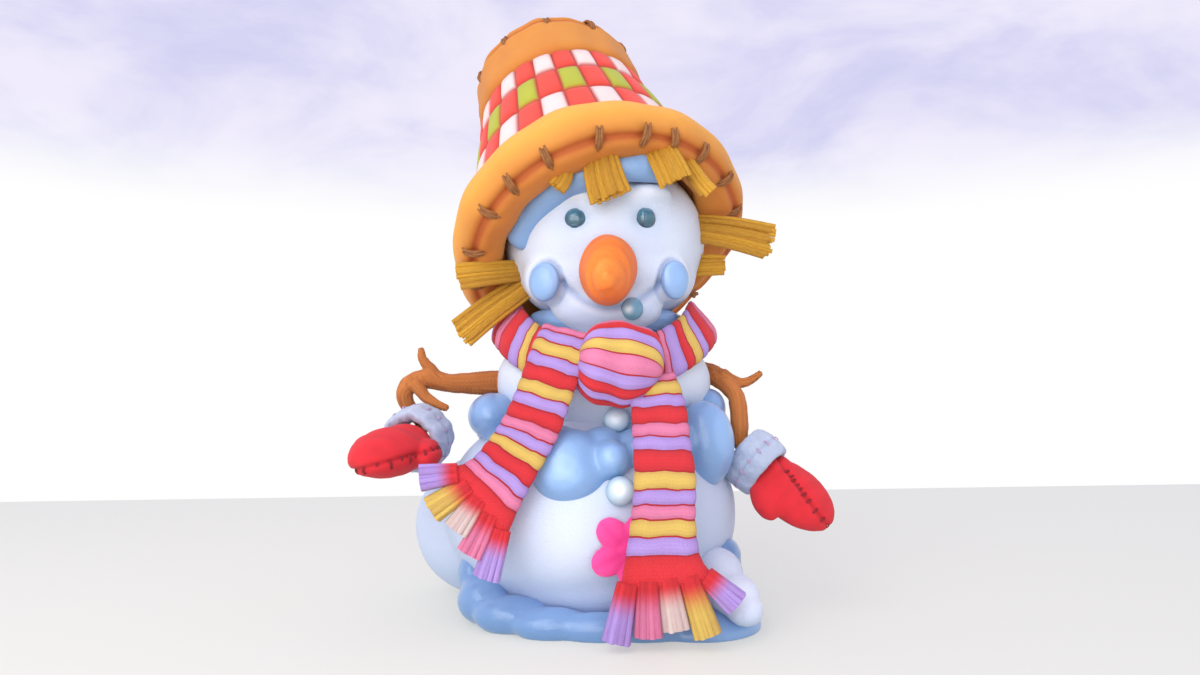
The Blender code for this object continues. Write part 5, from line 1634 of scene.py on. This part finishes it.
class Stage(bpy.types.Operator):
    """Floor, backdrop, lights and camera"""
    bl_idname = "snowman.stage"
    bl_label = "Stage"

    def execute(self, context):
        scene = context.scene
        (left, left_far), (right, right_far) = FLOOR_EDGE
        mesh = bpy.data.meshes.new("floor")
        mesh.from_pydata([(left, -8.0, 0.0), (right, -8.0, 0.0), (right, right_far, 0.0), (left, left_far, 0.0)],
                         [], [(0, 1, 2, 3)])
        floor = bpy.data.objects.new("floor", mesh)
        scene.collection.objects.link(floor)
        pale = bpy.data.materials.new("Pale floor")
        pale.use_nodes = True
        shader = pale.node_tree.nodes["Principled BSDF"]
        for key, value in {"Base Color": (0.49, 0.49, 0.42, 1.0), "Roughness": 0.9, "Specular IOR Level": 0.1,
                           "Emission Color": (1.0, 1.0, 0.985, 1.0), "Emission Strength": 0.36}.items():
            shader.inputs[key].default_value = value
        mesh.materials.append(pale)
        self.make_sky(scene)
        self.add_light("key", (-1.5, -2.4, 2.6), (0.0, 0.0, 0.5), 2.4, 40.0)
        self.add_light("fill", (-0.7, -3.0, 0.7), (0.0, 0.0, 0.5), 2.6, 46.0)
        camera = bpy.data.objects.new("camera", bpy.data.cameras.new("camera"))
        camera.location = CAMERA_PLACE
        camera.rotation_euler = (math.radians(CAMERA_PITCH), 0.0, 0.0)
        camera.data.sensor_width = 36.0
        camera.data.lens = CAMERA_LENS
        scene.collection.objects.link(camera)
        scene.camera = camera
        scene.view_settings.view_transform = "Standard"
        return {"FINISHED"}

    @staticmethod
    def make_sky(scene):
        """A white backdrop that turns pale lavender higher up."""
        world = bpy.data.worlds.new("Backdrop")
        world.use_nodes = True
        scene.world = world
        tree = world.node_tree
        tree.nodes.clear()
        way = put(tree, "ShaderNodeTexCoord").outputs["Generated"]
        up = put(tree, "ShaderNodeSeparateXYZ", {0: way}).outputs[2]
        wide = put(tree, "ShaderNodeMapping", {"Vector": way, "Scale": (1.6, 1.6, 3.6)}).outputs[0]
        puffs_of_cloud = put(tree, "ShaderNodeTexNoise", {"Vector": wide, "Scale": 2.2, "Detail": 5.0,
                                                          "Roughness": 0.58, "Distortion": 0.4}).outputs[0]
        cloud = put(tree, "ShaderNodeMapRange", {"Value": puffs_of_cloud, "From Min": 0.30, "From Max": 0.66},
                    interpolation_type="SMOOTHSTEP").outputs[0]
        clear, white = (*linear("CFCFF2"), 1.0), (*linear("F0ECFD"), 1.0)
        share = put(tree, "ShaderNodeMapRange", {"Value": up, "From Min": 0.20, "From Max": 0.30},
                    interpolation_type="SMOOTHSTEP").outputs[0]
        sky = blended(tree, share, (1.0, 1.0, 1.0, 1.0), blended(tree, cloud, clear, white))
        back = put(tree, "ShaderNodeBackground", {"Color": sky, "Strength": 1.0})
        put(tree, "ShaderNodeOutputWorld", {"Surface": back.outputs[0]})

    @staticmethod
    def add_light(name, place, target, size, power):
        lamp = bpy.data.objects.new(name, bpy.data.lights.new(name, "AREA"))
        lamp.data.size = size
        lamp.data.energy = power
        lamp.location = place
        lamp.rotation_mode = "QUATERNION"
        lamp.rotation_quaternion = (Vector(target) - Vector(place)).to_track_quat("-Z", "Y")
        bpy.context.scene.collection.objects.link(lamp)


STEPS = (Stage, Snow, Head, Slush, Face, Trinkets, Rolls, Crown, Straw, Scarf, Arms, Mittens)


class SnowmanPanel(bpy.types.Panel):
    bl_idname = "SNOWMAN_PT_steps"
    bl_label = "Melting Snowman"
    bl_space_type = "VIEW_3D"
    bl_region_type = "UI"
    bl_category = "Snowman"

    def draw(self, context):
        for step in STEPS:
            self.layout.operator(step.bl_idname)
        for group_name in ("snowman_sizes", "snowman_colours"):
            values = getattr(context.scene, group_name)
            for key in type(values).__annotations__:
                self.layout.prop(values, key)


CLASSES = (SnowmanColours, SnowmanSizes, *STEPS, SnowmanPanel)


def register():
    for each in CLASSES:
        bpy.utils.register_class(each)
    bpy.types.Scene.snowman_colours = bpy.props.PointerProperty(type=SnowmanColours)
    bpy.types.Scene.snowman_sizes = bpy.props.PointerProperty(type=SnowmanSizes)


def unregister():
    del bpy.types.Scene.snowman_sizes
    del bpy.types.Scene.snowman_colours
    for each in reversed(CLASSES):
        bpy.utils.unregister_class(each)


def main():
    register()
    for step in STEPS:
        group_name, name = step.bl_idname.split(".")
        getattr(getattr(bpy.ops, group_name), name)()


if __name__ == "__main__":
    main()
